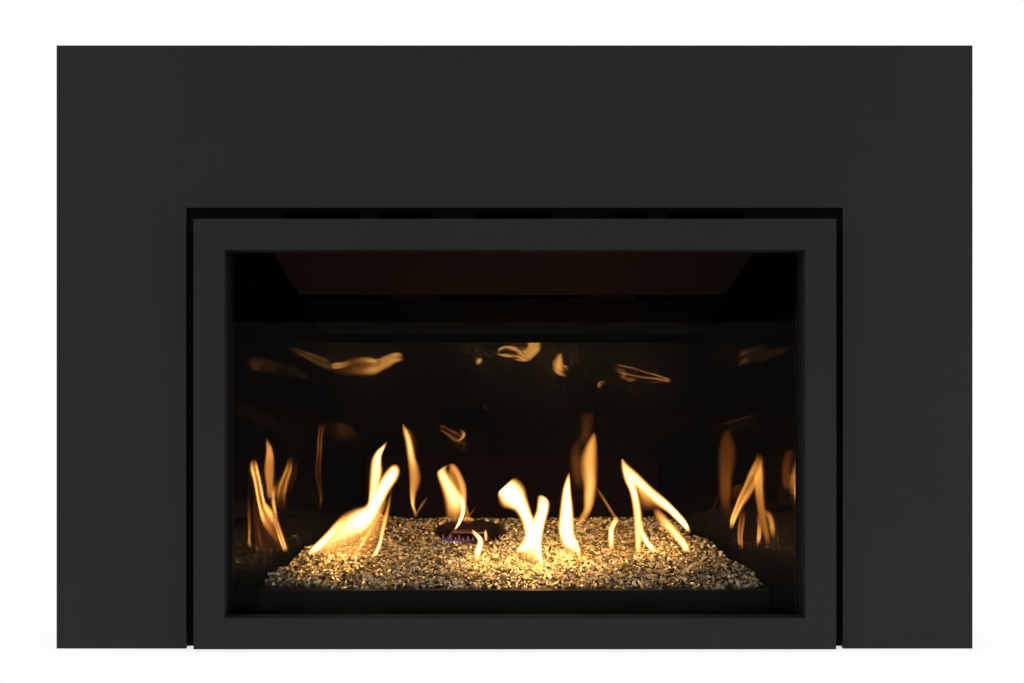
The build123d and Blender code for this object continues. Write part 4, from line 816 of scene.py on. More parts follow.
def run_tree(name, carrier_data, tree, finish, **inputs):
    """Plain mesh object that a geometry tree makes from a carrier."""
    inputs["Finish"] = finish
    carrier = new_object(name + "_carrier", carrier_data)
    modifier = carrier.modifiers.new("shape", "NODES")
    modifier.node_group = tree
    for item in tree.interface.items_tree:
        key = item.name.replace(" ", "_")
        if item.in_out == "INPUT" and key in inputs:
            modifier[item.identifier] = inputs[key]
    depsgraph = bpy.context.evaluated_depsgraph_get()
    mesh = bpy.data.meshes.new_from_object(
        carrier.evaluated_get(depsgraph), preserve_all_data_layers=True, depsgraph=depsgraph)
    mesh.name = name
    bpy.data.objects.remove(carrier)
    print(name, "polygons", len(mesh.polygons))
    return new_object(name, mesh)


print("geometry helpers ready")


# %% [markdown]
# ## The chips
# The tree scatters points over the skin, sets one of four broken shapes on each, turns it
# any way up and stores its shade. Tempered plate breaks into dice, so a chip is a small
# cube with its corners pushed about. That is faces enough for a piece of five millimetres.

# %% Chips
CHIP_SIZE = 0.0056
CHIPS_PER_SQUARE_METRE = 140000.0
CORNER_PUSH = 0.2
SMALLEST_CHIP, LARGEST_CHIP = 0.6, 1.25
BROKEN_SHAPES = ((11, 0.6), (12, 0.9), (13, 0.5), (14, 0.7))  # seed, flatness
SCATTER_SEED, WHICH_SEED, TURN_SEED, SIZE_SEED, SHADE_SEED = 7, 0, 21, 22, 23


def broken_shape(tree, seed, flatness):
    """One chip a metre across."""
    dice = add_wire(tree, "GeometryNodeMeshCube", Size=(0.8, 0.8, 0.8))
    faceted = add_wire(tree, "GeometryNodeTriangulate", Mesh=dice)
    push = random_vector(tree, -CORNER_PUSH, CORNER_PUSH, seed)
    pushed = add_wire(tree, "GeometryNodeSetPosition", Geometry=faceted, Offset=push)
    flat = add_wire(tree, "GeometryNodeTransform", Geometry=pushed, Scale=(1.0, 0.85, flatness))
    return add_wire(tree, "GeometryNodeGeometryToInstance", Geometry=flat)


chip_tree, given = open_tree("Scattered chips", Chips_per_Square_Metre="Float", Chip_Size="Float",
                             Seed="Int")
points = add_wire(chip_tree, "GeometryNodeDistributePointsOnFaces", Mesh=given["Geometry"],
                  Density=given["Chips per Square Metre"], Seed=given["Seed"])
shapes = chip_tree.nodes.new("GeometryNodeJoinGeometry")
for seed, flatness in BROKEN_SHAPES:
    feed(shapes.inputs[0], broken_shape(chip_tree, seed, flatness))
which = random_draw(chip_tree, "INT", "INT", 0, len(BROKEN_SHAPES) - 1, WHICH_SEED)
turn = random_vector(chip_tree, 0, math.tau, TURN_SEED)
share = random_vector(chip_tree, SMALLEST_CHIP, LARGEST_CHIP, SIZE_SEED)
size = add_wire(chip_tree, "ShaderNodeVectorMath", operation="SCALE", Scale=given["Chip Size"],
                Vector=share)
set_down = add_wire(
    chip_tree, "GeometryNodeInstanceOnPoints", Points=points, Instance=Wire(shapes.outputs[0]),
    Pick_Instance=True, Instance_Index=which, Rotation=turn, Scale=size)
shade = random_draw(chip_tree, "FLOAT", "VALUE", 0.0, 1.0, SHADE_SEED)
close_tree(chip_tree, given, store(set_down, "INSTANCE", "chip_shade", shade))
chips = run_tree("fire_glass_chips", skin_mesh, chip_tree, chips_finish, Chip_Size=CHIP_SIZE,
                 Chips_per_Square_Metre=CHIPS_PER_SQUARE_METRE, Seed=SCATTER_SEED)
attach(chips, "insert")


# %% [markdown]
# ## Small pieces set on the casing
# Rivets, louvres and rings all go down the same way: a carrier mesh holds one point for
# each place and the turn it needs, and a tree sets one shape on every point.

# %% Setting on places
def carrier_points(name, places):
    """Mesh of loose points, each with the turn that brings Z to its facing and Y to its lip."""
    mesh = bpy.data.meshes.new(name)
    mesh.from_pydata([place for place, facing, lip in places], [], [])
    turns = mesh.attributes.new("turn", "FLOAT_VECTOR", "POINT")
    for point, (place, facing, lip) in zip(turns.data, places):
        z_axis, y_axis = Vector(facing).normalized(), Vector(lip).normalized()
        axes = Matrix((y_axis.cross(z_axis), y_axis, z_axis))
        point.vector = axes.transposed().to_euler()
    return mesh


def set_on_places(name, make_shape, places, finish, **sizes):
    """Piece with one shape set on every place, made by a tree with the sizes as its inputs."""
    tree, given = open_tree(name, **{size: "Float" for size in sizes})
    turn = add_wire(tree, "GeometryNodeInputNamedAttribute", "Attribute",
                    data_type="FLOAT_VECTOR", Name="turn")
    copies = add_wire(tree, "GeometryNodeInstanceOnPoints", Points=given["Geometry"],
                      Instance=make_shape(tree, given), Rotation=turn)
    close_tree(tree, given, copies)
    return run_tree(name, carrier_points(name + "_places", places), tree, finish, **sizes)


def smoothed(geometry):
    """The same geometry with soft shading."""
    return add_wire(geometry.tree, "GeometryNodeSetShadeSmooth", Geometry=geometry)


print("placing ready")


# %% [markdown]
# ## Rivets
# Pop rivets hold the laps of the casing, as they need no access from inside. Their domed
# heads stand about a millimetre proud, every 75 mm.

# %% Rivets
base_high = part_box("casing_base")[1]
back_low, back_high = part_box("casing_back")
top_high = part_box("casing_top")[1]
exhaust_low, exhaust_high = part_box("exhaust_collar")
UP, DOWN, BACK = (0, 0, 1), (0, 0, -1), (0, 1, 0)
SIDES = (-1, 1)
SIDE_BEND = -0.010
RIVET_SPACING = 0.075
RIVET_FOOT, RIVET_TOP = 0.03, 0.475
FRONT_LAP = -0.160
BASE_LAP = (-0.135, -0.030, 0.012)  # from depth, to depth, height
BACK_LAPS = (0.06, 0.94)
VENT_MIDDLES = [side * (exhaust_high.x + exhaust_low.x) / 2 for side in SIDES]
VENT_DEPTH = 0.075
VENT_RIVET_RADIUS = 0.0435
FLANGE_TOP = top_high.z + 0.0015


def rivet_shape(tree, given):
    """Domed head, half sunk in the sheet."""
    ball = add_wire(tree, "GeometryNodeMeshUVSphere", Segments=12, Rings=6, Radius=1.0)
    radius = given["Head Radius"]
    size = add_wire(tree, "ShaderNodeCombineXYZ", X=radius, Y=radius, Z=given["Head Height"])
    return add_wire(tree, "GeometryNodeTransform", Geometry=smoothed(ball), Scale=size)


def row_of(start, end):
    """Evenly spaced rivets from one point to another."""
    start, end = Vector(start), Vector(end)
    gaps = max(1, round((end - start).length / RIVET_SPACING))
    return [start.lerp(end, step / gaps) for step in range(gaps + 1)]


slant = Vector((base_high.x - back_high.x, SIDE_BEND - back_low.y, 0))
slant_facing = Vector((-slant.y, slant.x, 0)).normalized()
rivet_places = []
for side in SIDES:
    x = side * base_high.x
    laps = [((side, 0, 0), (x, FRONT_LAP, RIVET_FOOT), (x, FRONT_LAP, RIVET_TOP)),
            ((side, 0, 0), (x, BASE_LAP[0], BASE_LAP[2]), (x, BASE_LAP[1], BASE_LAP[2]))]
    for share in BACK_LAPS:
        x = side * (base_high.x + (back_high.x - base_high.x) * share)
        depth = SIDE_BEND + (back_low.y - SIDE_BEND) * share
        facing = (side * slant_facing.x, slant_facing.y, 0)
        laps.append((facing, (x, depth, RIVET_FOOT), (x, depth, RIVET_TOP)))
    for facing, start, end in laps:
        rivet_places.extend((place, facing, DOWN) for place in row_of(start, end))
for middle in VENT_MIDDLES:
    for quarter in range(4):
        angle = math.tau * (quarter + 0.5) / 4
        place = (middle + VENT_RIVET_RADIUS * math.cos(angle),
                 VENT_DEPTH + VENT_RIVET_RADIUS * math.sin(angle), FLANGE_TOP)
        rivet_places.append((place, UP, BACK))
rivets = set_on_places("casing_rivets", rivet_shape, rivet_places, FINISHES["screw_steel"],
                       Head_Radius=0.0036, Head_Height=0.0013)
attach(rivets, "insert")

# %% [markdown]
# ## Louvres
# Room air for the blower comes in low through both sides. The press cuts a slot and pushes
# its upper edge out, so each louvre is a hood that rises towards an open lower lip. Here the
# hood is closed, and its lip face is coloured near black as painted shade for the slot.

# %% Louvres
LOUVRE_PITCH = 0.019
LOUVRE_COUNT = 7
LOUVRE_DEPTH = -0.088
LOWEST_LOUVRE = 0.055
SUNK = 0.0004


def louvre_shape(tree, given):
    """Closed hood: flat at its upper edge and ends, proud at its lip, with the lip marked for
    painted shade.
    """
    block = add_wire(tree, "GeometryNodeMeshCube", Vertices_X=19, Vertices_Y=7, Vertices_Z=2,
                     Size=(2, 2, 2))
    across, along, up = axes_of(add_wire(tree, "GeometryNodeInputPosition"))
    ends = 1.0 - abs(across) ** 6.0
    hood = math_node("SINE", (along + 1.0) * (math.tau / 8)) * ends
    raised = hood * given["Rise"] * (up > 0.0)
    reach = add_wire(tree, "ShaderNodeCombineXYZ", X=across * given["Half Length"],
                     Y=along * given["Half Width"], Z=raised - SUNK)
    facing = axes_of(add_wire(tree, "GeometryNodeInputNormal"))[1]
    marked = store(block, "FACE", "louvre_lip", facing > 0.9)
    return add_wire(tree, "GeometryNodeSetPosition", Geometry=marked, Position=reach)


# The lip face is coloured near black: painted shade for the open slot under the hood.
louvre_finish = metal("louvre_sheet", grey(0.52, -0.01), 95.0, 0.3, 0.3, 0.2, 0.36)
shader = shader_of(louvre_finish)
lip = attribute(shader.id_data, "louvre_lip")
feed_node(shader, Base_Color=mix(lip, fed_by(shader, "Base Color"), grey(0.004)))
louvre_places = [
    ((side * base_high.x, LOUVRE_DEPTH, LOWEST_LOUVRE + LOUVRE_PITCH * step), (side, 0, 0), DOWN)
    for side in SIDES for step in range(LOUVRE_COUNT)]
louvres = set_on_places("casing_louvres", louvre_shape, louvre_places, louvre_finish,
                        Half_Length=0.045, Half_Width=0.006, Rise=0.0045)
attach(louvres, "insert")

# %% [markdown]
# ## Beads on the spigots
# A flexible liner is pushed over each spigot and clamped. Two rolled beads keep the clamp
# from slipping off.

# %% Spigot beads
SPIGOT_RADIUS = 0.0381
BEAD_RADIUS = 0.0013
BEAD_LEVELS = (0.521, 0.533)


def ring_shape(tree, given):
    """Round bead closed on itself."""
    ring = add_wire(tree, "GeometryNodeCurvePrimitiveCircle", Resolution=64,
                    Radius=given["Ring Radius"])
    profile = add_wire(tree, "GeometryNodeCurvePrimitiveCircle", Resolution=10,
                       Radius=given["Bead Radius"])
    sweep = add_wire(tree, "GeometryNodeCurveToMesh", Curve=ring, Profile_Curve=profile)
    return smoothed(sweep)


ring_places = [((middle, VENT_DEPTH, level), UP, BACK)
               for middle in VENT_MIDDLES for level in BEAD_LEVELS]
spigot_beads = set_on_places("spigot_beads", ring_shape, ring_places, FINISHES["vent_aluminium"],
                             Ring_Radius=SPIGOT_RADIUS, Bead_Radius=BEAD_RADIUS)
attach(spigot_beads, "insert")

# %% [markdown]
# ## Fire
# A gas flame is a thin sheet of glowing soot, folded by the draught. Where the sheet is
# seen edge-on it looks nearly white, and where it is seen flat it is a pale orange veil.
# The dense parts are far brighter than a picture can show, the veils are not. In the black
# panels only a hundredth of a flame comes back and its dense parts still show, so what a
# mirror sees of them gets that extra strength.
# So each sheet here is a closed, lens-shaped ribbon between a left and a right edge, and
# each station along it says how dense it is at its left edge, middle and right edge.

# %% Flame finish
FLAME_GLOW = 4.2
MIRRORED_GAIN = 22.0
MIRRORED_TINT = (1.0, 0.56, 0.25, 1)
FOOT_COLOUR = (0.16, 0.08, 0.20, 1)
DENSEST_ALPHA = 0.7
SHEET_FALLOFF = 2.6
VEILS_IN_A_ROW = 32


def fire_finish(name, glow):
    """Finish that only glows, with its own map from edge to edge and from foot to tip."""
    finish, tree, shader = new_finish(name, Base_Color=grey(0.0), Roughness=1.0,
                                      Specular_IOR_Level=0.0, Emission_Strength=glow)
    fire_map = add_wire(tree, "ShaderNodeUVMap", uv_map="flame")
    across, along, _ = axes_of(fire_map)
    return finish, shader, fire_map, abs(across * 2.0 - 1.0), along


flame_finish, shader, flame_map, from_middle, along = fire_finish("flame", FLAME_GLOW)
tree = flame_finish.node_tree
density = attribute(tree, "flame_density")
thick = (density * (1.0 - from_middle ** SHEET_FALLOFF)).clamped()
stretched = add_wire(tree, "ShaderNodeMapping", Scale=(4.0, 0.7, 1.0), Vector=flame_map)
streaks = smooth_range(noise(stretched, 1.7, 2.0), 0.3, 0.65, 0.7, 1.0)
warm = ramp(thick, [
    (0.0, (1.0, 0.25, 0.03)), (0.3, (1.0, 0.32, 0.05)), (0.5, (1.0, 0.40, 0.07)),
    (0.62, (1.0, 0.52, 0.14)), (0.75, (1.0, 0.63, 0.22)), (1.0, (1.0, 0.82, 0.42))])
footed = mix(smooth_range(along, 0.0, 0.10), FOOT_COLOUR, warm)
glossy, through = rays(tree, "Glossy", "Transmission")
mirrored = (glossy - through).clamped()
seen_strength = 1.0 + mirrored * (thick ** 3.0 * MIRRORED_GAIN)
tinted = mix(1.0, footed, mix(mirrored, grey(1.0), MIRRORED_TINT), "MULTIPLY")
feed_node(shader, Alpha=(thick ** SHEET_FALLOFF * DENSEST_ALPHA * streaks).clamped(),
          Emission_Color=mix(1.0, tinted, seen_strength, "MULTIPLY"))
bpy.context.scene.cycles.transparent_max_bounces = VEILS_IN_A_ROW
print("flame", flame_finish.name)


# %% [markdown]
# ## A sheet between two edges
# A Catmull-Rom line runs smoothly through all the stations at once, edges and densities
# alike. Around each cross-section the density is blended from left to middle to right.

# %% Flame sheet maker
STEPS_BETWEEN_STATIONS = 6
SECTION_SIDES = 24
FLAME_THICKNESS = 0.35
SOFT_EDGE = 1.2
THINNEST_HALF = 0.0008


def smooth_line(stations):
    """Catmull-Rom line through stations of any numbers."""
    ends = [stations[0], *stations, stations[-1]]
    line = []
    for before, start, stop, after in zip(ends, ends[1:], ends[2:], ends[3:]):
        for step in range(STEPS_BETWEEN_STATIONS):
            t = step / STEPS_BETWEEN_STATIONS
            line.append(tuple(
                0.5 * (2 * q + (r - p) * t + (2 * p - 5 * q + 4 * r - s) * t * t
                       + (3 * q - p - 3 * r + s) * t ** 3)
                for p, q, r, s in zip(before, start, stop, after)))
    line.append(tuple(map(float, stations[-1])))
    return line


def add_flame_sheet(fire, stations, foot_depth, tip_depth, turn):
    """Add a sheet. A station is (left column, left row, right column, right row, densities)."""
    line = smooth_line(stations)
    first = len(fire["points"])
    for number, station in enumerate(line):
        left_column, left_row, right_column, right_row, left_edge, core, right_edge = station
        share = number / (len(line) - 1)
        depth = foot_depth + (tip_depth - foot_depth) * share
        width = math.hypot(right_column - left_column, right_row - left_row)
        swing = turn * METRES_PER_PIXEL * width / 2
        left = from_picture(left_column, left_row, depth - swing)
        right = from_picture(right_column, right_row, depth + swing)
        middle, side = (left + right) / 2, (right - left) / 2 * SOFT_EDGE
        if side.length < THINNEST_HALF:
            side = side.normalized() * THINNEST_HALF
        bulge = Vector((0, max(side.length * FLAME_THICKNESS, THINNEST_HALF), 0))
        for corner in range(SECTION_SIDES):
            angle = math.tau * corner / SECTION_SIDES
            reach = math.cos(angle)
            edge = right_edge if reach > 0 else left_edge
            mixed = core + (edge - core) * abs(reach) ** 1.5
            fire["points"].append(middle + side * reach + bulge * math.sin(angle))
            fire["map"].append((0.5 + 0.5 * reach, share))
            fire["density"].append(min(max(mixed, 0.0), 1.0))
    for ring in range(len(line) - 1):
        for corner in range(SECTION_SIDES):
            here = first + ring * SECTION_SIDES + corner
            there = first + ring * SECTION_SIDES + (corner + 1) % SECTION_SIDES
            fire["faces"].append((here, here + SECTION_SIDES, there + SECTION_SIDES, there))
    last = first + (len(line) - 1) * SECTION_SIDES
    fire["faces"].append(tuple(range(first, first + SECTION_SIDES)))
    fire["faces"].append(tuple(range(last + SECTION_SIDES - 1, last - 1, -1)))


print("sheet maker ready")

# %% [markdown]
# ## The flames on the left
# One broad flame leans over from the left end of the burner and splits into two tongues.
# A tall thin one stands at the back, and a folded sheet rises out of the pilot's pocket.

# %% Left flames
# stations of four places and three densities; foot depth, tip depth, turn
LEFT_FLAMES = {
    "broad_tongue": ([
        (308.5, 553.5, 322, 566, .3, .35, .25), (315.5, 544.5, 328, 557, .62, .5, .25),
        (323.5, 536, 336, 551, .75, .6, .3), (335.5, 523, 348, 544.5, .82, .74, .4),
        (344.5, 514.5, 358, 539, .78, .84, .5), (356, 509.3, 367.5, 531, .88, 1, .78),
        (366, 505.5, 375.5, 518.5, 1, 1, .9), (372.7, 494, 383, 504, 1, 1, .9),
        (379, 482.7, 389.3, 491.6, 1, 1, .8), (384.2, 474, 396.9, 480, .9, 1, .8),
        (390, 466.5, 400, 472, .7, .8, .6), (394, 463.5, 399.5, 466, .2, .3, .2)],
        0.155, 0.175, 0.3),
    "broad_bright_edge": ([
        (307.5, 554.5, 310.5, 556, .6, .7, .5), (311.5, 547.5, 318, 551.5, .85, .95, .75),
        (318.5, 540.5, 325.5, 545.5, .88, 1, .75), (326.5, 532.5, 333, 537.5, .82, .92, .6),
        (335, 522.5, 341, 527, .6, .7, .45), (343, 515, 347, 519.5, .35, .4, .3)],
        0.150, 0.160, 0.3),
    "broad_haze": ([
        (310, 557, 328, 572, .3, .32, .2), (324, 549, 344, 565, .38, .4, .2),
        (338, 541, 358, 560, .4, .42, .22), (351, 534, 372, 551, .42, .44, .26),
        (366, 524, 381, 536, .42, .46, .32), (376, 510, 386, 517, .35, .4, .3)], 0.148, 0.165, 0.2),
    "pointed_tongue": ([
        (367.5, 506, 375, 502, .7, .8, .8), (368.7, 494, 377, 491, .7, .8, .85),
        (369.3, 482.5, 380.5, 481, .75, .8, .85), (370.2, 470, 382.3, 472, .8, .8, .8),
        (372, 459.5, 381.7, 463, .85, .85, .8), (376.5, 451, 381.8, 456, .85, .85, .8),
        (382, 446, 384.4, 449.3, .75, .75, .6), (386.8, 441.3, 387.4, 442, .3, .3, .3)],
        0.178, 0.185, -0.2),
    "outer_streak": ([
        (369.5, 558, 371.5, 559.5, .3, .3, .3), (374.3, 551, 378.3, 553, .75, .8, .6),
        (377.8, 544, 381.6, 545, .8, .85, .5), (380, 533, 384.4, 533.5, .7, .75, .4),
        (382.5, 519, 388, 519.5, .5, .6, .4), (386, 507, 390, 507.5, .35, .45, .4),
        (388.5, 496, 391.8, 496, .2, .25, .25), (390.5, 486, 391.5, 486, .05, .05, .05)],
        0.150, 0.165, 0.2),
    "inner_streak": ([
        (350.5, 557, 352.5, 558.5, .2, .3, .3), (359, 545, 362, 547, .5, .65, .7),
        (364, 534, 370, 535, .4, .55, .7), (369, 521, 377.5, 523, .4, .5, .6),
        (376, 510, 384, 511, .4, .45, .5), (383, 499, 387.5, 500, .3, .3, .35)], 0.152, 0.166, 0.2),
    "tall_thin": ([
        (414, 519.5, 418.5, 519.5, .05, .1, .05), (413.5, 513, 417.2, 513, .4, .42, .35),
        (411, 504.5, 415, 504.5, .75, .65, .4), (409.8, 493, 417, 494, .85, .5, .2),
        (409.8, 480, 422, 480, .85, .45, .15), (408.8, 467.5, 420, 468.5, .8, .52, .22),
        (406.8, 454.6, 416, 457, .62, .65, .35), (405, 442, 414, 446, .5, .68, .35),
        (402.3, 430.5, 410.5, 434, .38, .62, .28), (401.8, 421.5, 404, 423.5, .2, .3, .15)],
        0.294, 0.285, 0.4),
    "tall_thin_branch": ([
        (415, 514, 417, 515, .25, .25, .25), (420.6, 504, 423.4, 505.3, .3, .36, .3),
        (427, 495.5, 429, 496.7, .1, .12, .1)], 0.293, 0.288, 0.1),
    "fold_front_sheet": ([
        (445.8, 521, 459.5, 523, .2, .2, .3), (445.8, 514.5, 461.5, 515, .42, .45, .62),
        (445.3, 505.5, 464.3, 506, .64, .68, .8), (444, 497, 463, 498, .74, .8, .78),
        (441.5, 488, 457.5, 487.5, .82, .8, .66), (438.6, 479.5, 451, 477.5, .92, .8, .5),
        (437.2, 472.6, 447, 469, .9, .68, .42), (440, 468.6, 449, 464.6, .42, .42, .38)],
        0.266, 0.270, 0.4),
    "fold_bright_edge": ([
        (453.3, 530.5, 455, 530.8, .45, .5, .45), (457, 523.5, 460.4, 524, .85, .95, .85),
        (460, 515, 464.3, 515.5, .9, 1, .9), (460.8, 506, 465.6, 506, .86, .96, .82),
        (457.5, 497.5, 463.5, 497.5, .62, .74, .6), (453.5, 489, 459, 489, .3, .35, .3)],
        0.262, 0.262, 0.2),
    "fold_back_rim": ([
        (461.5, 506, 466.6, 506, .6, .62, .6), (459.5, 494, 466.8, 494, .46, .58, .6),
        (456.5, 484, 466, 485, .4, .56, .6), (452.5, 474.5, 462.3, 475.5, .4, .52, .56),
        (448.5, 467.5, 457.8, 467, .42, .5, .46), (449, 463.6, 454.5, 463.8, .3, .3, .3)],
        0.278, 0.282, 0.4),
    "fold_inner_veil": ([
        (456, 501, 463, 501, .4, .4, .4), (450, 489, 461, 489, .42, .42, .4),
        (447, 477, 456, 477, .42, .42, .4), (448, 469, 453, 469, .3, .3, .3)], 0.284, 0.288, 0.2),
    "fold_skirt": ([
        (461.5, 523, 473, 524, .15, .22, .1), (462.5, 514, 470.5, 515, .3, .38, .24),
        (464, 504, 467.5, 504.5, .3, .35, .25)], 0.284, 0.284, 0.1),
    "fold_tail": ([
        (463.5, 522, 467, 523, .2, .2, .2), (470, 512.5, 472.4, 513.6, .22, .25, .2),
        (477.5, 503.5, 479, 504.5, .08, .1, .08)], 0.282, 0.284, 0.1),
    "pilot_large": ([
        (471, 563, 479, 565, .1, .1, .1), (473.3, 557.5, 480.2, 558.5, .5, .65, .5),
        (475, 549, 481.7, 551, .9, 1, .9), (477.6, 541, 483.6, 543, .9, 1, .9),
        (475, 536.5, 482.5, 538, .8, .95, .8), (472.4, 533, 477.7, 533, .7, .8, .6),
        (471.6, 529.3, 473.5, 530, .4, .5, .4)], 0.143, 0.150, 0.2),
    "pilot_small": ([
        (484.3, 542, 487.7, 542, .4, .45, .4), (484.1, 536, 487.4, 536, .6, .75, .6),
        (484, 531.5, 487, 531.5, .5, .6, .5), (485, 529, 486.3, 529, .2, .2, .2)],
        0.214, 0.214, 0.0),
}
print("left flames", len(LEFT_FLAMES))

# %% [markdown]
# ## The flames in the middle and on the right
# Two fat columns and a spear burn hottest in the middle of the bed. Behind them stands a
# tall orange sheet, and on the right a flame with three legs climbs to one point.

# %% Right flames
RIGHT_FLAMES = {
    "hook": ([
        (524.5, 537, 534.5, 532, .8, 1, .9), (522, 526, 534, 520, .5, 1, 1),
        (518.5, 516.5, 531.2, 512.3, .55, 1, 1), (514.2, 510.8, 528.6, 504, .6, 1, 1),
        (509, 508.6, 526.3, 496.5, .66, 1, 1), (504.2, 507, 524, 488.5, .78, 1, .95),
        (501, 503.2, 519.2, 481.8, .88, 1, .8), (499.2, 498.8, 513.2, 478.9, .92, 1, .82),
        (498, 495.2, 507.5, 483.6, .9, .96, .88), (498.4, 492.4, 502.6, 488, .7, .75, .7)],
        0.150, 0.160, 0.2),
    "column_left_leg": ([
        (513, 551, 516.5, 553, .4, .5, .4), (519, 545, 528, 553, .8, .95, .4),
        (524.5, 535, 536, 549, 1, 1, .8), (530, 524, 542, 535, 1, 1, 1),
        (536, 512, 545.4, 522.5, 1, 1, 1), (537.3, 503.5, 549, 509, .9, 1, .9),
        (537.8, 497, 549.2, 501, .7, .85, .65), (539, 494.6, 545, 496, .35, .4, .3)],
        0.140, 0.145, 0.2),
    "column_right_leg": ([
        (542.5, 572.5, 545, 573.5, .3, .35, .3), (539, 562, 543.4, 562, .7, .85, .7),
        (534, 552, 542, 551, .7, 1, .9), (531.5, 538, 542.3, 538, .9, 1, 1),
        (535, 525, 544.3, 525, .9, 1, 1)], 0.118, 0.130, -0.2),
    "column_foot": ([
        (516, 555, 542, 569, .2, .3, .4), (518, 550, 541.8, 562, .52, .58, .64),
        (523.5, 541, 541.5, 552, .72, .82, .9)], 0.128, 0.134, 0.2),
    "spear": ([
        (565, 561, 581.5, 561, .05, .1, .25), (563.2, 551, 579.9, 552, .35, .5, .8),
        (561, 543, 577.3, 541.5, .75, 1, .9), (558.2, 530, 574.6, 532, 1, 1, 1),
        (559.3, 517, 573.8, 520, 1, 1, 1), (560.7, 503.5, 572.7, 506, .9, 1, .9),
        (562.8, 489, 571.2, 492, .8, .95, .8), (566, 478.5, 570.5, 481, .6, .75, .6),
        (568.6, 472.6, 570, 472.6, .3, .3, .3)], 0.160, 0.168, 0.3),
    "spear_heel": ([
        (576.5, 567, 579, 568, .3, .35, .3), (577.3, 558.5, 581.3, 558.5, .55, .62, .55),
        (574.3, 549, 580, 548.5, .75, .85, .75), (571, 540, 577, 539.5, .9, 1, .9)],
        0.150, 0.156, 0.1),
    "orange_sheet": ([
        (571.5, 532, 575, 533, .3, .35, .3), (576.3, 521, 586.5, 520, .4, .45, .35),
        (583, 510, 593, 508, .62, .57, .4), (583.5, 498, 596, 496, .72, .62, .36),
        (583.3, 485, 597.2, 484, .62, .62, .46), (580.8, 474, 597.2, 470.5, .44, .58, .56),
        (579.5, 462, 597.2, 457, .36, .55, .6), (583.5, 449, 596.9, 444, .34, .53, .6),
        (590, 437, 596.2, 437, .3, .44, .48), (593.8, 432, 595.2, 432, .15, .2, .15)],
        0.272, 0.262, 0.5),
    "orange_veil": ([
        (577, 494, 584.5, 490, .02, .05, .1), (574.5, 486, 584, 482, .12, .17, .2),
        (572, 478, 583.5, 474, .18, .22, .2), (569.6, 465, 582, 461, .2, .22, .2),
        (569, 452, 582, 448, .13, .17, .17), (572, 441, 583, 438, .05, .1, .1)], 0.276, 0.272, 0.2),
    "slanting_line": ([
        (614.3, 518.7, 616.7, 517.3, .4, .4, .4), (604, 502.3, 606.4, 500.4, .36, .4, .36),
        (596.3, 489.7, 598.2, 488.3, .25, .25, .25)], 0.268, 0.262, 0.1),
    "short_finger": ([
        (609, 551, 615, 552, .3, .35, .3), (608.3, 541, 614.2, 540, .85, .85, .6),
        (608.3, 530.5, 614.7, 529.2, .9, .85, .6), (610.3, 523.8, 619, 520.5, .8, .75, .5),
        (615.5, 515.8, 618, 517.5, .4, .4, .35)], 0.180, 0.188, 0.2),
    "climber_left_leg": ([
        (637.3, 558.5, 640, 558.5, .3, .35, .3), (635.3, 547, 641.2, 547, .75, .7, .45),
        (634.4, 534.5, 643.3, 531, .82, .75, .5), (633.8, 521, 642.8, 520, .82, .76, .5),
        (632.2, 505, 641.4, 508, .82, .8, .55), (629.2, 491, 638.7, 495, .8, .88, .7),
        (624.2, 480, 635, 482, .72, .88, .85), (621.2, 468, 629.3, 470, .62, .75, .65),
        (621, 458.5, 623.6, 459.5, .4, .45, .35)], 0.165, 0.195, 0.3),
    "climber_branch": ([
        (657.3, 554.5, 659.8, 552, .35, .35, .35), (650, 549.3, 653.2, 545.6, .85, .9, .85),
        (644.3, 543.7, 648.2, 538.6, .85, .95, .85), (639.6, 533, 644.2, 530.7, .7, .8, .7),
        (637.8, 522, 642.7, 521, .45, .5, .45)], 0.168, 0.180, 0.1),
    "climber_right_leg": ([
        (688.4, 533.5, 691.4, 532.4, .35, .4, .35), (684.5, 528.8, 687, 522.3, .86, .96, .86),
        (676.8, 521.3, 679.2, 512.4, .82, .96, .86), (667.2, 512.5, 666, 499, .66, .92, .84),
        (655.5, 505.5, 651.5, 486.8, .5, .85, .84), (643.5, 495.5, 638, 473.5, .5, .84, .84),
        (632.5, 484.5, 628.4, 465, .62, .86, .74), (624, 471, 622.5, 458.5, .45, .55, .4)],
        0.180, 0.190, 0.2),
    "climber_veil": ([
        (640, 513, 661, 509, .1, .1, .1), (638.5, 500, 656, 503, .38, .42, .45),
        (636, 489, 645, 492, .5, .55, .5)], 0.212, 0.208, 0.2),
    "climber_inner_leg": ([
        (687.3, 557.5, 690, 557, .2, .22, .2), (682.8, 550, 689, 545.7, .7, .8, .7),
        (675.8, 541.3, 680.8, 533.2, .65, .8, .65), (663.8, 529.3, 669.8, 519.7, .55, .68, .55),
        (655.3, 518.3, 660.3, 509.6, .38, .48, .4), (652.3, 511, 656, 506.7, .15, .18, .15)],
        0.163, 0.195, 0.1),
}
print("right flames", len(RIGHT_FLAMES))

# %% [markdown]
# ## The pilot's small flames
# In the dark pocket the pilot burns lean. Its short tongues are blue at the foot, violet
# higher up, and only their tips turn orange where they pick up soot.

# %% Pilot flames
PILOT_GLOW = 0.6
PILOT_DEPTH = 0.204
PILOT_TONGUES = (  # column, row, width, height
    (443.5, 540.5, 3.2, 6.0), (447.5, 541.5, 3.0, 4.5), (451.0, 541.8, 3.6, 7.5),
    (455.5, 542.0, 3.0, 5.0), (459.0, 542.0, 3.4, 7.0), (463.5, 541.8, 3.0, 4.0),
    (468.0, 541.5, 3.2, 5.5), (472.5, 541.0, 2.6, 4.0), (496.0, 541.5, 2.4, 4.0),
    (500.0, 540.5, 2.8, 5.5))

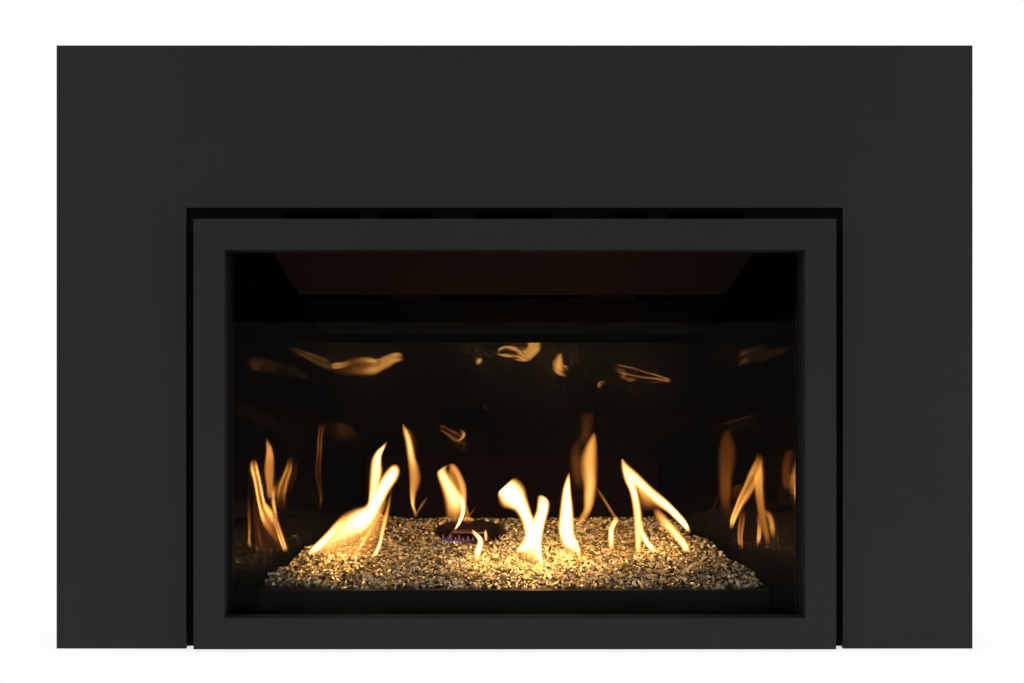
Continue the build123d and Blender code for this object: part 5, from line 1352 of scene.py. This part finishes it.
pilot_finish, shader, _, from_middle, along = fire_finish("pilot_flame", PILOT_GLOW)
feed_node(shader, Alpha=smooth_range(from_middle, 1.0, 0.2, 0.0, 0.5), Emission_Color=ramp(along, [
    (0.0, (0.05, 0.05, 0.45)), (0.35, (0.10, 0.07, 0.50)), (0.6, (0.35, 0.10, 0.30)),
    (0.85, (0.9, 0.28, 0.06)), (1.0, (1.0, 0.40, 0.08))]))


def pilot_stations(column, row, width, height):
    """Three stations of a small upright tongue that stands at a column and row."""
    lean = 0.3 * math.sin(column)
    waist = row - 0.4 * height
    return [
        (column - 0.35 * width, row, column + 0.35 * width, row, 1, 1, 1),
        (column - 0.5 * width + lean, waist, column + 0.5 * width + lean, waist, 1, 1, 1),
        (column - 0.1 + 3 * lean, row - height, column + 0.1 + 3 * lean, row - height, 1, 1, 1)]


print("pilot tongues", len(PILOT_TONGUES))


# %% [markdown]
# ## One mesh for each fire
# All sheets of a fire become one piece, which rides with the insert. The density is kept
# as an attribute on the points and the map as a UV layer, and the finish reads both.

# %% Fire meshes
def light_fire(name, sheets, finish):
    """Make one piece of all the sheets of a fire."""
    fire = {"points": [], "faces": [], "map": [], "density": []}
    for stations, foot_depth, tip_depth, turn in sheets:
        add_flame_sheet(fire, stations, foot_depth, tip_depth, turn)
    mesh = bpy.data.meshes.new(name)
    mesh.from_pydata(fire["points"], [], fire["faces"])
    uv_layer = mesh.uv_layers.new(name="flame")
    for loop in mesh.loops:
        uv_layer.data[loop.index].uv = fire["map"][loop.vertex_index]
    density_attribute = mesh.attributes.new("flame_density", "FLOAT", "POINT")
    density_attribute.data.foreach_set("value", fire["density"])
    for polygon in mesh.polygons:
        polygon.use_smooth = True
    mesh.materials.append(finish)
    piece = new_object(name, mesh)
    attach(piece, "insert")
    print(name, len(sheets), "sheets", len(fire["faces"]), "faces")


pilot_sheets = [(pilot_stations(*tongue), PILOT_DEPTH, PILOT_DEPTH, 0.0)
                for tongue in PILOT_TONGUES]
light_fire("flames", [*LEFT_FLAMES.values(), *RIGHT_FLAMES.values()], flame_finish)
light_fire("pilot_flames", pilot_sheets, pilot_finish)

# %% [markdown]
# ## Sky and floor
# The insert stands on a white studio floor. What the camera sees of floor and sky is
# white, while the light that falls on the object comes from a dim sky and a few lamps, so
# that a colour renders about as it is written. Mirrors see the sky white towards the back
# and dark towards the viewer.

# %% Sky and floor
SKY_LIGHT = 0.45
FLOOR = 12.0
FLOOR_LEVEL = -0.0005
SHADOW = 0.3

sky = bpy.data.worlds.new("studio")
sky.use_nodes = True
bpy.context.scene.world = sky
tree = sky.node_tree
deep = axes_of(add_wire(tree, "ShaderNodeTexCoord", "Generated"))[1]
camera_ray, glossy, through = rays(tree, "Camera", "Glossy", "Transmission")
mirrored = math_node("MAXIMUM", glossy, through)
white = math_node("MAXIMUM", camera_ray, mirrored * smooth_range(deep, -0.55, 0.05))
dim_sky = (1.0 - mirrored) * SKY_LIGHT
feed_node(tree.nodes["Background"], Color=grey(1.0), Strength=math_node("MAXIMUM", white, dim_sky))

floor_mesh = bpy.data.meshes.new("floor")
corners = [(x * FLOOR, y * FLOOR, FLOOR_LEVEL) for x, y in ((-1, -1), (1, -1), (1, 1), (-1, 1))]
floor_mesh.from_pydata(corners, [], [(0, 1, 2, 3)])
floor = new_object("floor", floor_mesh)
floor_finish, tree, shader = new_finish("floor")
tree.nodes.remove(shader)
matte = add_wire(tree, "ShaderNodeBsdfDiffuse", Color=grey(0.86))
glow = add_wire(tree, "ShaderNodeEmission", Color=grey(1.0))
across, deep, _ = axes_of(object_vector(tree))
patch = smooth_range(abs(across), 0.62, 0.40) * smooth_range(deep, -0.23, -0.17)
patch = patch * smooth_range(deep, 0.75, 0.25)
camera_ray, glossy, through = rays(tree, "Camera", "Glossy", "Transmission")
seen = math_node("MAXIMUM", math_node("MAXIMUM", camera_ray, glossy), through)
blend = tree.nodes.new("ShaderNodeMixShader")
for socket, value in zip(blend.inputs, (seen * (1.0 - patch * SHADOW), matte, glow)):
    feed(socket, value)
feed(tree.nodes["Material Output"].inputs[0], Wire(blend.outputs[0]))
floor_mesh.materials.append(floor_finish)
print("floor", floor.name)


# %% [markdown]
# ## Lamps
# Large soft lamps stand left, right and behind. In the flames sit small warm lamps, felt
# by matt surfaces but not seen themselves, because a thin glowing sheet lights too little
# of the bed for the few rays that find it.

# %% Lamps
FIRE_COLOUR = (1.0, 0.55, 0.20)
AIM = Vector((0, 0, 0.35))
FIRE_LAMPS = (  # column, row, depth, power, radius
    (534, 534, 0.105, 1.75, 0.02), (568, 533, 0.140, 0.65, 0.015), (345, 531, 0.140, 0.55, 0.02),
    (458, 508, 0.262, 0.11, 0.015), (590, 500, 0.268, 0.15, 0.02), (655, 530, 0.150, 0.46, 0.02),
    (477, 553, 0.125, 0.22, 0.01), (318, 548, 0.105, 0.18, 0.02))
SOFTBOXES = {  # place, width, height, power
    "softbox_left": ((-2.6, -2.4, 2.4), 1.8, 1.8, 55.0),
    "softbox_right": ((2.6, -2.0, 2.2), 1.8, 1.8, 45.0),
    "softbox_back": ((0.0, 3.0, 2.6), 2.2, 1.6, 50.0),
}

for number, (column, row, depth, power, radius) in enumerate(FIRE_LAMPS):
    data = bpy.data.lights.new(f"fire_lamp_{number}", "POINT")
    data.energy, data.shadow_soft_size, data.color = power, radius, FIRE_COLOUR
    lamp = new_object(data.name, data)
    lamp.location = from_picture(column, row, depth)
    lamp.visible_camera = lamp.visible_glossy = lamp.visible_transmission = False
for name, (place, width, height, power) in SOFTBOXES.items():
    data = bpy.data.lights.new(name, "AREA")
    data.shape, data.size, data.size_y, data.energy = "RECTANGLE", width, height, power
    lamp = new_object(name, data)
    lamp.location = place
    lamp.rotation_euler = (AIM - Vector(place)).to_track_quat("-Z", "Y").to_euler()
bpy.context.scene.view_settings.view_transform = "Standard"
print("lamps", len(FIRE_LAMPS) + len(SOFTBOXES))
